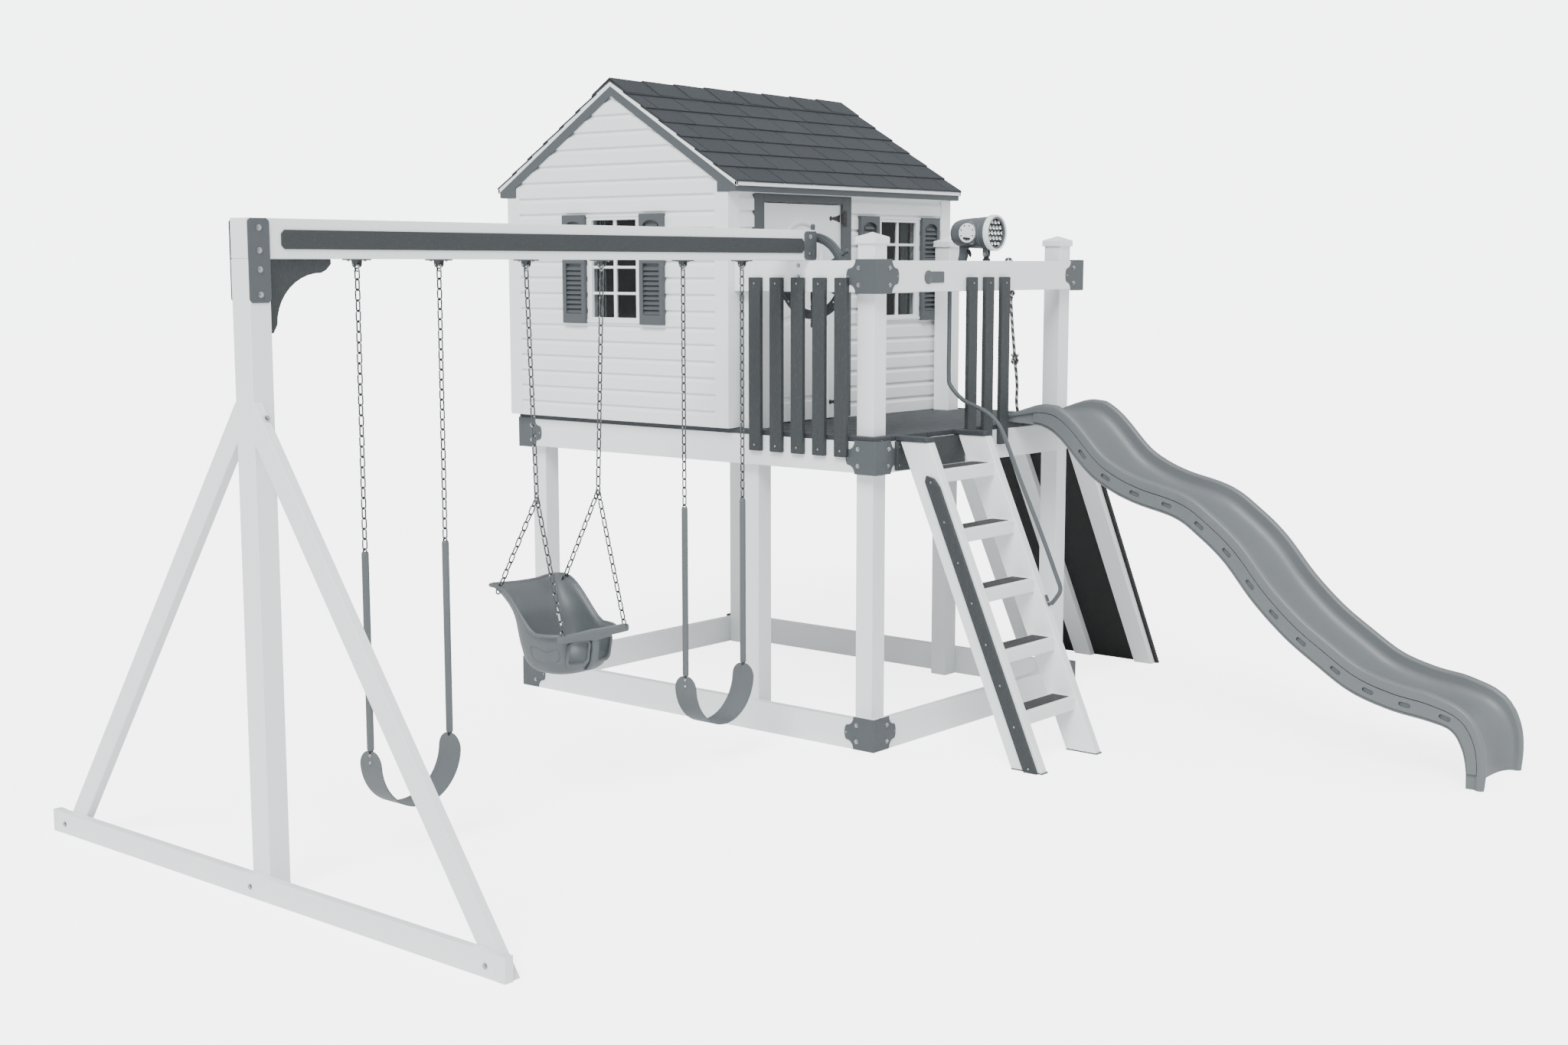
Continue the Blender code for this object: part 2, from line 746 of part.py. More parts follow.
def half_section(rim, skirt):
    """Left half of the channel, from skirt foot over the rim to the middle of the bed."""
    roll = min(0.016, rim * 0.2)
    return [(0.004 + slideWall, -skirt), (slideWall, rim * 0.5), (slideWall, rim - roll),
            (slideWall + roll * 0.4, rim - roll * 0.25), (slideWall + roll, rim),
            (slideWall + roll * 1.8, rim - roll * 0.3), (slideWall + roll * 2.2, rim - roll),
            (0.048, rim * 0.50), (0.062, rim * 0.22), (0.094, rim * 0.05), (0.150, 0.0),
            (slideWidth / 2 - 0.05, 0.0)]


# ---------------------------------------------------------------- rock wall and rope
def make_rock_wall():
    """A leaning panel on three ribs; the ribs' tops are cut level with the deck."""
    shelf = ribThick * rockSlant
    top = deckTop
    rib = [(rockFootIn, 0), (rockFootIn + shelf, 0), (rockFootIn + shelf - top * rockLean, top),
           (towerWidth + gap, top), (towerWidth + gap, deckHeight - rockDrop)]
    faceIn = rockFootIn + shelf + gap * rockSlant
    faceOut = rockFootOut
    panel = [(faceIn, 0), (faceOut, 0), (faceOut - top * rockLean, top), (faceIn - top * rockLean, top)]
    face = plate("rock_wall_panel", panel, "Y", 0, rockWidth, blackRubber)
    last = rockWidth - ribInset - ribWidth
    plate("rock_wall_rib_near", rib, "Y", ribInset, ribWidth, whiteVinyl)
    plate("rock_wall_rib_far", rib, "Y", last, ribWidth, whiteVinyl)
    bite = 0.004
    spine = [(a + bite, b) for a, b in rib[1:3]]
    middle = [rib[0], *spine, rib[3], rib[4]]
    combine(face, raw_plate(middle, "Y", (ribInset + last) / 2, ribWidth), "UNION")


def make_rope():
    """Climbing rope: from under the rail over the panel's top edge and down its face."""
    face = rockFootOut + ropeRadius * rockSlant + 0.001
    route = [(towerWidth + shift, ropeY, railTop - drop) for shift, drop in ropeFree]
    for share, proud, sway in ropeLaid:
        z = deckHeight * share
        route.append((face - z * rockLean + proud, ropeY + sway, z))
    points = spline_through(route, 5)
    settle(raw_tube(points, ropeRadius, 2), "climbing_rope", ropeFibre)


# ---------------------------------------------------------------- swing beam
def make_beam():
    low = beamBottom
    beam = block("swing_beam", (mastX, beamY - beamWidth / 2, low),
                 (beamEnd, beamY + beamWidth / 2, low + beamHeight), whiteVinyl)
    beam.modifiers.clear()
    for x in (*outerSwingX, *toddlerSwingX, *innerSwingX):
        foot = raw_block((x - hangerLength / 2, beamY - hangerWidth / 2, low - hangerThick),
                         (x + hangerLength / 2, beamY + hangerWidth / 2, low + hangerThick))
        combine(beam, foot, "UNION")
        lug = raw_block((x - hangerLug / 2, beamY - hangerLug / 2, pivotZ + chainRadius + gap),
                        (x + hangerLug / 2, beamY + hangerLug / 2, low + hangerThick / 2))
        combine(beam, lug, "UNION")
    front = beamY - mastSizeY / 2
    block("a_frame_post", (mastX, front, 0),
          (mastX + mastSizeX, front + mastSizeY, low - gap), whiteVinyl)
    block("a_frame_base", (baseOuter, baseFront, 0),
          (mastX - gap, baseRear, baseHeight), whiteVinyl)
    for side, name in ((-1, "front"), (1, "rear")):
        near = beamY + side * (mastSizeY / 2 + gap)
        foot = beamY + side * braceSpread
        slope = braceTop / (abs(foot - near))
        under = near + side * (braceTop - braceRise) / slope
        outline = [(near, braceTop), (near, braceTop - braceRise), (under, 0), (foot, 0)]
        plate(f"a_frame_brace_{name}", outline, "X", mastX, braceThick, whiteVinyl)


# ---------------------------------------------------------------- swings
def belt_outline(low_x, high_x):
    """A half round strap seen from the front, one thickness wide."""
    middle, half = (low_x + high_x) / 2, (high_x - low_x) / 2
    count = 18
    arc = [math.pi * step / count for step in range(count + 1)]
    outer = [(middle - (half + beltThick / 2) * math.cos(a), beltTop - (half + beltThick / 2) * math.sin(a))
             for a in arc]
    inner = [(middle - (half - beltThick / 2) * math.cos(a), beltTop - (half - beltThick / 2) * math.sin(a))
             for a in arc]
    return outer + inner[::-1]


def make_belt_swing(prefix, places):
    axis = empty_at(f"{prefix}_swing_axis", ((places[0] + places[1]) / 2, beamY, pivotZ), root)
    for x, side in zip(places, ("left", "right")):
        profile = [(0, pivotZ), (chainRadius, pivotZ), (chainRadius, sleeveTop),
                   (sleeveRadius, sleeveTop), (sleeveRadius, sleeveFoot), (chainRadius, sleeveFoot),
                   (chainRadius, beltTop + gap), (0, beltTop + gap)]
        chain = turned(profile, 12)
        chain.location = (x, beamY, 0)
        settle(chain, f"{prefix}_swing_chain_{side}", zincChain, axis)
    plate(f"{prefix}_swing_seat", belt_outline(*places), "Y", beamY - beltWidth / 2, beltWidth,
          swingPlastic, axis)


toddlerSplitZ = 1.386
toddlerBack = (0.190, 0.230, 0.965)     # half width, offset along Y, height
toddlerFront = (0.168, -0.150, 0.805)
toddlerSplitHalf = 0.184                # half the chains' spread at the split
bucketWall = 0.007
bucketBrow = [(0.15, 0.800), (0.45, 0.790), (0.53, 0.815), (0.60, 0.900), (0.68, 0.985), (0.80, 0.990),
              (0.80, 1.3), (0.15, 1.3)]
legHoleX = (0.022, 0.135)
legHoleZ = (0.655, 0.765)
bucketLevels = [(0.612, 0.020, 0.110, 0.085), (0.628, 0.020, 0.145, 0.125), (0.670, 0.022, 0.175, 0.155),
                (0.740, 0.026, 0.190, 0.172), (0.800, 0.032, 0.196, 0.180), (0.880, 0.050, 0.198, 0.182),
                (0.960, 0.070, 0.200, 0.180), (1.010, 0.080, 0.200, 0.178)]


def make_bucket(axis, middle):
    """Bucket seat: rounded level rings, the front cut low and two leg holes."""
    form = bmesh.new()
    count = 28
    rings = []
    for z, shift, halfX, halfY in bucketLevels:
        ring = []
        for step in range(count):
            a = 2 * math.pi * step / count
            c, s = math.cos(a), math.sin(a)
            ring.append(form.verts.new((middle + halfX * math.copysign(abs(c) ** 0.7, c),
                                        beamY + shift + halfY * math.copysign(abs(s) ** 0.7, s), z)))
        rings.append(ring)
    form.faces.new(rings[0][::-1])
    for a, b in zip(rings, rings[1:]):
        for i in range(count):
            j = (i + 1) % count
            form.faces.new((a[i], a[j], b[j], b[i]))
    mesh = bpy.data.meshes.new("bucket")
    form.to_mesh(mesh)
    form.free()
    seat = settle(link(bpy.data.objects.new("bucket", mesh)), "toddler_swing_seat", swingPlastic, axis)
    wall = seat.modifiers.new("wall", "SOLIDIFY")
    wall.thickness = bucketWall
    wall.offset = -1
    combine(seat, raw_plate(bucketBrow, "X", middle - 0.4, 0.8), "DIFFERENCE")
    for side in (-1, 1):
        near, far = sorted(middle + side * edge for edge in legHoleX)
        hole = raw_block((near, 0.15, legHoleZ[0]), (far, 0.40, legHoleZ[1]))
        combine(seat, hole, "DIFFERENCE")
    return seat


def make_toddler_swing():
    middle = sum(toddlerSwingX) / 2
    axis = empty_at("toddler_swing_axis", (middle, beamY, pivotZ), root)
    make_bucket(axis, middle)
    for x, side, name in zip(toddlerSwingX, (-1, 1), ("left", "right")):
        split = Vector((middle + side * toddlerSplitHalf, beamY, toddlerSplitZ))
        chain = bake(raw_rod((x, beamY, pivotZ), split, chainRadius, 10))
        chain = settle(chain, f"toddler_swing_chain_{name}", zincChain, axis)
        for half, offset, z in (toddlerBack, toddlerFront):
            end = Vector((middle + side * (half + 0.018), beamY + offset, z))
            start = split + (split - end).normalized() * 0.004
            combine(chain, bake(raw_rod(start, end, chainRadius, 10)), "UNION")


# ---------------------------------------------------------------- ship's wheel
def make_wheel():
    axis = empty_at("wheel_axis", (wheelX, wheelY, wheelZ), root)
    bpy.ops.mesh.primitive_cylinder_add(vertices=40, radius=wheelRadius, depth=wheelThick)
    wheel = bpy.context.object
    turn = Matrix.Rotation(math.pi / 2, 4, "Y")
    place = Matrix.Translation((wheelX + wheelThick / 2, wheelY, wheelZ)) @ turn
    wheel.data.transform(place)
    settle(wheel, "ships_wheel", slatePaint, axis)
    wheel.location = -Vector(axis["layout"])
    middle = Vector((wheelX + wheelThick / 2, wheelY, wheelZ))
    eye = bake(raw_rod(middle - X * 0.1, middle + X * 0.1, wheelRadius - wheelBand, 40))
    combine(wheel, eye, "DIFFERENCE")
    axle = bake(raw_rod((boardThick + gap, wheelY, wheelZ), (wheelX + wheelThick + 0.008, wheelY, wheelZ),
                        axleRadius, 24))
    combine(wheel, axle, "UNION")
    for index in range(spokeCount):
        angle = math.pi / 6 + 2 * math.pi * index / spokeCount
        out = Vector((0, math.cos(angle), math.sin(angle)))
        combine(wheel, bake(raw_rod(middle + out * 0.02, middle + out * pegReach, pegRadius, 12)), "UNION")


# ---------------------------------------------------------------- toy searchlight
def make_searchlight():
    baseTop = railTop - lampDrop
    base = raw_rod((lampX, lampPivotY, baseTop - lampBase), (lampX, lampPivotY, baseTop), lampPost, 20)
    settle(bake(base), "searchlight_base", blackPlastic)
    foot = raw_block((lampX - 0.03, boardThick + gap, baseTop - lampBase),
                     (lampX + 0.03, lampPivotY, baseTop - 0.01))
    combine(base, foot, "UNION")
    pan = empty_at("searchlight_pan_axis", (lampX, lampPivotY, baseTop), root)
    yoke = bake(raw_rod((lampX, lampPivotY, baseTop + gap), (lampX, lampPivotY, lampPivotZ - lugReach),
                        lampPost, 20))
    settle(yoke, "searchlight_yoke", blackPlastic, pan)
    tongue = raw_block((lampX - 0.007, lampPivotY - 0.013, baseTop + 0.01),
                       (lampX + 0.007, lampPivotY + 0.013, lampPivotZ + 0.012))
    combine(yoke, tongue, "UNION")
    tilt = empty_at("searchlight_tilt_axis", (lampX, lampPivotY, lampPivotZ), pan)
    head = turned(lampShellProfile, 32)
    head.rotation_euler.x = -math.pi / 2
    head.location = (lampX, lampFront, lampAxisZ)
    head = as_mesh(head)
    settle(head, "searchlight_head", lampShell, tilt)
    smooth(head)
    for side in (-1, 1):
        near, far = sorted((lampX + side * lugNear, lampX + side * lugFar))
        lug = raw_block((near, lampPivotY - lugHalf, lampPivotZ - 0.012),
                        (far, lampPivotY + lugHalf, lampAxisZ - 0.06))
        combine(head, lug, "UNION")
    grip = [(y, lampAxisZ - drop) for y, drop in gripOutline]
    combine(head, raw_plate(grip, "X", lampX - gripThick / 2, gripThick), "UNION")
    near, far = (Vector((lampX - reach, dialY, lampAxisZ)) for reach in dialReach)
    combine(head, bake(raw_rod(near, far, dialRadius, 32)), "UNION")
    trigger = [(y, lampAxisZ - drop) for y, drop in triggerOutline]
    pull = empty_at("searchlight_trigger_axis", (lampX, triggerAxis[0], lampAxisZ - triggerAxis[1]), tilt)
    plate("searchlight_trigger", trigger, "X", lampX - triggerThick / 2, triggerThick, blackPlastic, pull)


make_tower()
make_deck()
make_top_rail()
make_balusters()
make_house_walls()
make_roof()
make_roof_trim()
make_door()
make_window("gable_window", "X", gableWindowY)
make_window("porch_window", "Y", porchWindowX)
make_shutters()
make_ladder()
make_handrail()
make_slide()
make_rock_wall()
make_rope()
make_beam()
make_belt_swing("outer", outerSwingX)
make_toddler_swing()
make_belt_swing("inner", innerSwingX)
make_wheel()
make_searchlight()
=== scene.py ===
import functools
import math

import bmesh
import bpy
from mathutils import Matrix, Vector


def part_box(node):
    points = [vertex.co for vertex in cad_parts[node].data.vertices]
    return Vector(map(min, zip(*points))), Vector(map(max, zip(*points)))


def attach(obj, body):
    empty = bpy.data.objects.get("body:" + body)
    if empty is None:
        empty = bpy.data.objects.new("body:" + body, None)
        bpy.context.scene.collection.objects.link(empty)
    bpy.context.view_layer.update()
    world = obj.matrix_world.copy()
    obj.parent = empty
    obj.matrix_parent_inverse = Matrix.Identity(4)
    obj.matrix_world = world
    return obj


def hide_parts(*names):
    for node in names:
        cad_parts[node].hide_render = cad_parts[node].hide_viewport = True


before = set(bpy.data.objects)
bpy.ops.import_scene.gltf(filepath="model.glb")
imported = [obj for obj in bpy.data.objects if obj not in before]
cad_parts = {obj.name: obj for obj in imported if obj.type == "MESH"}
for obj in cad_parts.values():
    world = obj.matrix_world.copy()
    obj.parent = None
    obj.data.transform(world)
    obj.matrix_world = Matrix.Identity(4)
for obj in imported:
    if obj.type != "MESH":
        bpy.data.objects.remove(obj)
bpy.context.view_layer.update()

# layout places count from the tower's front left corner on the ground, as in the part
rimLow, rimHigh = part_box("deck_rim")
home = Vector((rimLow.x, rimLow.y, 0))
towerWidth = rimHigh.x - rimLow.x
towerDepth = rimHigh.y - rimLow.y
deckHeight = rimHigh.z
xAxis, yAxis, zAxis = Vector((1, 0, 0)), Vector((0, 1, 0)), Vector((0, 0, 1))


def layoutBox(node):
    low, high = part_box(node)
    return low - home, high - home


deckLow, deckHigh = layoutBox("deck")
deckTop = deckHigh.z
wallLow, wallHigh = layoutBox("house_walls")
roofLow, roofHigh = layoutBox("roof")
railLow, railHigh = layoutBox("top_rail")
beamLow, beamHigh = layoutBox("swing_beam")
beamY = (beamLow.y + beamHigh.y) / 2
print("frame loaded")

camera = {"place": (-7.45295, -5.60908, 2.36829), "yaw": 39.657, "pitch": 7.507, "lens": 44.72}


def setCamera():
    yaw, pitch = math.radians(camera["yaw"]), math.radians(camera["pitch"])
    ahead = Vector((math.cos(pitch) * math.cos(yaw), math.cos(pitch) * math.sin(yaw), -math.sin(pitch)))
    data = bpy.data.cameras.new("viewpoint")
    data.lens = camera["lens"]
    data.clip_end = 200
    eye = bpy.data.objects.new("viewpoint", data)
    eye.location = Vector(camera["place"]) + home
    eye.rotation_euler = ahead.to_track_quat("-Z", "Y").to_euler()
    bpy.context.scene.collection.objects.link(eye)
    bpy.context.scene.camera = eye


setCamera()


# shader groups and finishes
def shaderGroup(name, inputs, outputs):
    group = bpy.data.node_groups.new(name, "ShaderNodeTree")
    for label, kind, value in inputs:
        socket = group.interface.new_socket(label, in_out="INPUT", socket_type=kind)
        socket.default_value = value
    for label, kind in outputs:
        group.interface.new_socket(label, in_out="OUTPUT", socket_type=kind)
    return group, group.nodes.new("NodeGroupInput"), group.nodes.new("NodeGroupOutput")


def mathNode(tree, operation, first, second):
    node = tree.nodes.new("ShaderNodeMath")
    node.operation = operation
    for socket, value in zip(node.inputs, (first, second)):
        if isinstance(value, (int, float)):
            socket.default_value = value
        else:
            tree.links.new(value, socket)
    return node.outputs[0]


def rangeNode(tree, value, low, high, newLow, newHigh):
    node = tree.nodes.new("ShaderNodeMapRange")
    for socket, given in zip(node.inputs, (value, low, high, newLow, newHigh)):
        if isinstance(given, (int, float)):
            socket.default_value = given
        else:
            tree.links.new(given, socket)
    return node.outputs[0]


def noiseNode(tree, vector, scale, detail=2.0):
    node = tree.nodes.new("ShaderNodeTexNoise")
    tree.links.new(vector, node.inputs["Vector"])
    if isinstance(scale, (int, float)):
        node.inputs["Scale"].default_value = scale
    else:
        tree.links.new(scale, node.inputs["Scale"])
    node.inputs["Detail"].default_value = detail
    return node.outputs["Fac"]


def makeSkinGroup():
    # mottled colour, pale flecks and a fine moulded grain, stretched along one way if asked
    group, entry, leave = shaderGroup("mouldedSkin", [
        ("Color", "NodeSocketColor", (0.5, 0.5, 0.5, 1)), ("Stretch", "NodeSocketVector", (1, 1, 1)),
        ("Mottle Scale", "NodeSocketFloat", 5.0), ("Mottle", "NodeSocketFloat", 0.04),
        ("Grain Scale", "NodeSocketFloat", 300.0), ("Grain Depth", "NodeSocketFloat", 0.0004),
        ("Fleck", "NodeSocketFloat", 0.0), ("Fleck Scale", "NodeSocketFloat", 500.0),
        ("Roughness", "NodeSocketFloat", 0.45), ("Roughness Spread", "NodeSocketFloat", 0.08)],
        [("Color", "NodeSocketColor"), ("Roughness", "NodeSocketFloat"), ("Normal", "NodeSocketVector")])
    take = entry.outputs
    where = group.nodes.new("ShaderNodeTexCoord").outputs["Object"]
    stretched = group.nodes.new("ShaderNodeVectorMath")
    stretched.operation = "MULTIPLY"
    group.links.new(where, stretched.inputs[0])
    group.links.new(take["Stretch"], stretched.inputs[1])
    along = stretched.outputs[0]
    mottle = noiseNode(group, along, take["Mottle Scale"], 4)
    spread = mathNode(group, "MULTIPLY", mathNode(group, "SUBTRACT", mottle, 0.5), take["Mottle"])
    fleck = rangeNode(group, noiseNode(group, along, take["Fleck Scale"], 0), 0.64, 0.72, 0.0, 1.0)
    tone = mathNode(group, "ADD", mathNode(group, "ADD", mathNode(group, "MULTIPLY", spread, 4.0), 1.0),
                    mathNode(group, "MULTIPLY", fleck, take["Fleck"]))
    tinted = group.nodes.new("ShaderNodeVectorMath")
    tinted.operation = "SCALE"
    group.links.new(take["Color"], tinted.inputs[0])
    group.links.new(tone, tinted.inputs["Scale"])
    group.links.new(tinted.outputs[0], leave.inputs["Color"])
    rough = mathNode(group, "ADD", take["Roughness"],
                     mathNode(group, "MULTIPLY", mathNode(group, "SUBTRACT", mottle, 0.5),
                              take["Roughness Spread"]))
    group.links.new(rough, leave.inputs["Roughness"])
    bump = group.nodes.new("ShaderNodeBump")
    group.links.new(noiseNode(group, along, take["Grain Scale"], 3), bump.inputs["Height"])
    group.links.new(take["Grain Depth"], bump.inputs["Distance"])
    bump.inputs["Strength"].default_value = 1.0
    group.links.new(bump.outputs["Normal"], leave.inputs["Normal"])
    return group


skinGroup = makeSkinGroup()
finishes = {}


def makeFinish(name, slotName, color, metallic=0.0, coat=0.0, **settings):
    mat = bpy.data.materials.new(name)
    mat.use_nodes = True
    tree = mat.node_tree
    shader = tree.nodes["Principled BSDF"]
    skin = tree.nodes.new("ShaderNodeGroup")
    skin.node_tree = skinGroup
    skin.inputs["Color"].default_value = (*color, 1)
    for label, value in settings.items():
        skin.inputs[label.replace("_", " ")].default_value = value
    tree.links.new(skin.outputs["Color"], shader.inputs["Base Color"])
    tree.links.new(skin.outputs["Roughness"], shader.inputs["Roughness"])
    tree.links.new(skin.outputs["Normal"], shader.inputs["Normal"])
    shader.inputs["Metallic"].default_value = metallic
    shader.inputs["Coat Weight"].default_value = coat
    finishes[name] = (mat, slotName)
    return mat


makeFinish("whiteVinyl", "white_vinyl", (0.84, 0.865, 0.875), Mottle=0.012, Mottle_Scale=3.0,
           Grain_Scale=180.0, Grain_Depth=0.00012, Roughness=0.40)
makeFinish("sidingVinyl", "white_vinyl", (0.84, 0.865, 0.875), Mottle=0.012, Mottle_Scale=3.0,
           Stretch=(0.25, 0.25, 1.0), Grain_Scale=420.0, Grain_Depth=0.0003, Roughness=0.46)
makeFinish("doorSkin", "white_door", (0.82, 0.845, 0.86), Mottle=0.01, Grain_Scale=240.0,
           Grain_Depth=0.00015, Roughness=0.36)
makeFinish("uprightBoard", "poly_board", (0.026, 0.0315, 0.034), Mottle=0.05, Mottle_Scale=26.0,
           Stretch=(1.0, 1.0, 0.12), Fleck=0.45, Fleck_Scale=430.0, Grain_Scale=300.0,
           Grain_Depth=0.0022, Roughness=0.60)
makeFinish("levelBoard", "poly_board", (0.026, 0.0315, 0.034), Mottle=0.05, Mottle_Scale=26.0,
           Stretch=(0.12, 1.0, 1.0), Fleck=0.45, Fleck_Scale=430.0, Grain_Scale=300.0,
           Grain_Depth=0.0022, Roughness=0.60)
makeFinish("deckPlank", "deck_board", (0.027, 0.032, 0.037), Mottle=0.06, Mottle_Scale=22.0,
           Stretch=(1.0, 0.10, 1.0), Fleck=0.35, Fleck_Scale=380.0, Grain_Scale=240.0,
           Grain_Depth=0.0025, Roughness=0.62)
makeFinish("slatePaint", "slate_paint", (0.062, 0.072, 0.078), Mottle=0.02, Mottle_Scale=14.0,
           Grain_Scale=700.0, Grain_Depth=0.0004, Roughness=0.50)
makeFinish("slidePlastic", "slide_plastic", (0.118, 0.131, 0.137), coat=0.06, Mottle=0.03,
           Mottle_Scale=4.0, Grain_Scale=520.0, Grain_Depth=0.0003, Roughness=0.48)
makeFinish("swingPlastic", "swing_plastic", (0.092, 0.105, 0.111), Mottle=0.02, Mottle_Scale=12.0,
           Grain_Scale=620.0, Grain_Depth=0.0003, Roughness=0.44)
makeFinish("zincChain", "zinc_chain", (0.115, 0.124, 0.128), metallic=1.0, Mottle=0.10,
           Mottle_Scale=160.0, Grain_Scale=900.0, Grain_Depth=0.0001, Roughness=0.30,
           Roughness_Spread=0.2)
makeFinish("brightBolt", "zinc_chain", (0.42, 0.43, 0.44), metallic=1.0, Mottle=0.05,
           Mottle_Scale=220.0, Grain_Scale=900.0, Grain_Depth=0.00005, Roughness=0.22)
makeFinish("blackPanel", "black_panel", (0.011, 0.0115, 0.012), Mottle=0.12, Mottle_Scale=40.0,
           Fleck=0.7, Fleck_Scale=500.0, Grain_Scale=260.0, Grain_Depth=0.0012, Roughness=0.78)
makeFinish("steelTube", "steel_tube", (0.068, 0.079, 0.086), coat=0.15, Mottle=0.03,
           Mottle_Scale=40.0, Grain_Scale=900.0, Grain_Depth=0.00008, Roughness=0.38)
makeFinish("lampShell", "lamp_shell", (0.078, 0.090, 0.098), coat=0.2, Mottle=0.02,
           Grain_Scale=800.0, Grain_Depth=0.0001, Roughness=0.38)
makeFinish("whitePlastic", "white_vinyl", (0.82, 0.84, 0.85), coat=0.2, Mottle=0.01,
           Grain_Scale=600.0, Grain_Depth=0.00005, Roughness=0.30)
makeFinish("blackPlastic", "black_plastic", (0.014, 0.014, 0.015), Mottle=0.06, Grain_Scale=700.0,
           Grain_Depth=0.0002, Roughness=0.42)
makeFinish("mirrorCup", "zinc_chain", (0.42, 0.43, 0.44), metallic=1.0, Mottle=0.02,
           Grain_Scale=100.0, Grain_Depth=0.0, Roughness=0.07, Roughness_Spread=0.03)
makeFinish("gripStrip", "black_panel", (0.030, 0.031, 0.032), Mottle=0.2, Mottle_Scale=60.0,
           Fleck=1.5, Fleck_Scale=900.0, Grain_Scale=1500.0, Grain_Depth=0.001, Roughness=0.9)
# painted shade: a near-black finish for the cabin's inside, so the room behind the window and door reads as dark
makeFinish("paintedShadeLining", "black_plastic", (0.006, 0.0062, 0.0065), Mottle=0.10, Mottle_Scale=8.0,
           Grain_Scale=120.0, Grain_Depth=0.0004, Roughness=0.9)
makeFinish("curtainCloth", "rope_fibre", (0.30, 0.32, 0.33), Mottle=0.04, Mottle_Scale=50.0,
           Grain_Scale=1400.0, Grain_Depth=0.0004, Roughness=0.9)
makeFinish("climbingHold", "slate_paint", (0.12, 0.14, 0.15), Mottle=0.05, Mottle_Scale=30.0,
           Fleck=0.4, Grain_Scale=500.0, Grain_Depth=0.0012, Roughness=0.72)


def makeShingleFinish():
    # grit in three greys, with each tab a slightly different tone
    mat = makeFinish("shingleGrit", "shingle_grit", (0.026, 0.0315, 0.0365), Mottle=0.05,
                     Mottle_Scale=7.0, Fleck=1.1, Fleck_Scale=620.0, Grain_Scale=640.0,
                     Grain_Depth=0.0022, Roughness=0.88)
    tree = mat.node_tree
    shader = tree.nodes["Principled BSDF"]
    skin = tree.nodes["Group"]
    tone = tree.nodes.new("ShaderNodeAttribute")
    tone.attribute_name = "tabTone"
    graded = tree.nodes.new("ShaderNodeVectorMath")
    graded.operation = "SCALE"
    tree.links.new(skin.outputs["Color"], graded.inputs[0])
    tree.links.new(rangeNode(tree, tone.outputs["Fac"], 0.0, 1.0, 0.92, 1.08), graded.inputs["Scale"])
    tree.links.new(graded.outputs[0], shader.inputs["Base Color"])


def makeRopeFinish():
    # three twisted strands in black, grey and white, from the rope's own UV map
    mat = makeFinish("ropeFibre", "rope_fibre", (0.2, 0.2, 0.2), Mottle=0.2, Mottle_Scale=300.0,
                     Grain_Scale=1500.0, Grain_Depth=0.0006, Roughness=0.85)
    tree = mat.node_tree
    shader = tree.nodes["Principled BSDF"]
    skin = tree.nodes["Group"]
    place = tree.nodes.new("ShaderNodeUVMap")
    place.uv_map = "strand"
    split = tree.nodes.new("ShaderNodeSeparateXYZ")
    tree.links.new(place.outputs["UV"], split.inputs[0])
    twist = mathNode(tree, "ADD", split.outputs[0], split.outputs[1])
    phase = mathNode(tree, "FRACT", twist, 0.0)
    ramp = tree.nodes.new("ShaderNodeValToRGB")
    ramp.color_ramp.interpolation = "CONSTANT"
    stops = ((0.0, 0.012), (0.36, 0.30), (0.52, 0.62), (0.66, 0.30), (0.80, 0.012))
    for index, (where, grey) in enumerate(stops):
        stop = ramp.color_ramp.elements[0] if index == 0 else ramp.color_ramp.elements.new(where)
        stop.position = where
        stop.color = (grey, grey * 1.02, grey * 1.03, 1)
    ramp.color_ramp.elements.remove(ramp.color_ramp.elements[-1])
    tree.links.new(phase, ramp.inputs[0])
    mixed = tree.nodes.new("ShaderNodeVectorMath")
    mixed.operation = "MULTIPLY_ADD"
    tree.links.new(skin.outputs["Color"], mixed.inputs[0])
    mixed.inputs[1].default_value = (0.25, 0.25, 0.25)
    tree.links.new(ramp.outputs["Color"], mixed.inputs[2])
    tree.links.new(mixed.outputs[0], shader.inputs["Base Color"])
    strand = mathNode(tree, "PINGPONG", mathNode(tree, "MULTIPLY", twist, 3.0), 0.5)
    bump = tree.nodes.new("ShaderNodeBump")
    bump.inputs["Distance"].default_value = 0.004
    tree.links.new(strand, bump.inputs["Height"])
    tree.links.new(skin.outputs["Normal"], bump.inputs["Normal"])
    tree.links.new(bump.outputs["Normal"], shader.inputs["Normal"])


def makeGlassFinish():
    mat = bpy.data.materials.new("windowGlass")
    mat.use_nodes = True
    tree = mat.node_tree
    shader = tree.nodes["Principled BSDF"]
    shader.inputs["Base Color"].default_value = (0.55, 0.59, 0.60, 1)
    shader.inputs["Transmission Weight"].default_value = 1.0
    shader.inputs["IOR"].default_value = 1.25
    shader.inputs["Specular IOR Level"].default_value = 0.25
    where = tree.nodes.new("ShaderNodeTexCoord").outputs["Object"]
    smear = rangeNode(tree, noiseNode(tree, where, 9.0, 3), 0.3, 0.7, 0.01, 0.05)
    tree.links.new(smear, shader.inputs["Roughness"])
    finishes["windowGlass"] = (mat, "black_plastic")


makeShingleFinish()
makeRopeFinish()
makeGlassFinish()
print("finishes made")


# solid helpers, all in layout places
def addBox(form, low, high):
    low, high = Vector(low), Vector(high)
    size = Matrix.Diagonal((*(high - low), 1))
    bmesh.ops.create_cube(form, size=1, matrix=Matrix.Translation((low + high) / 2) @ size)


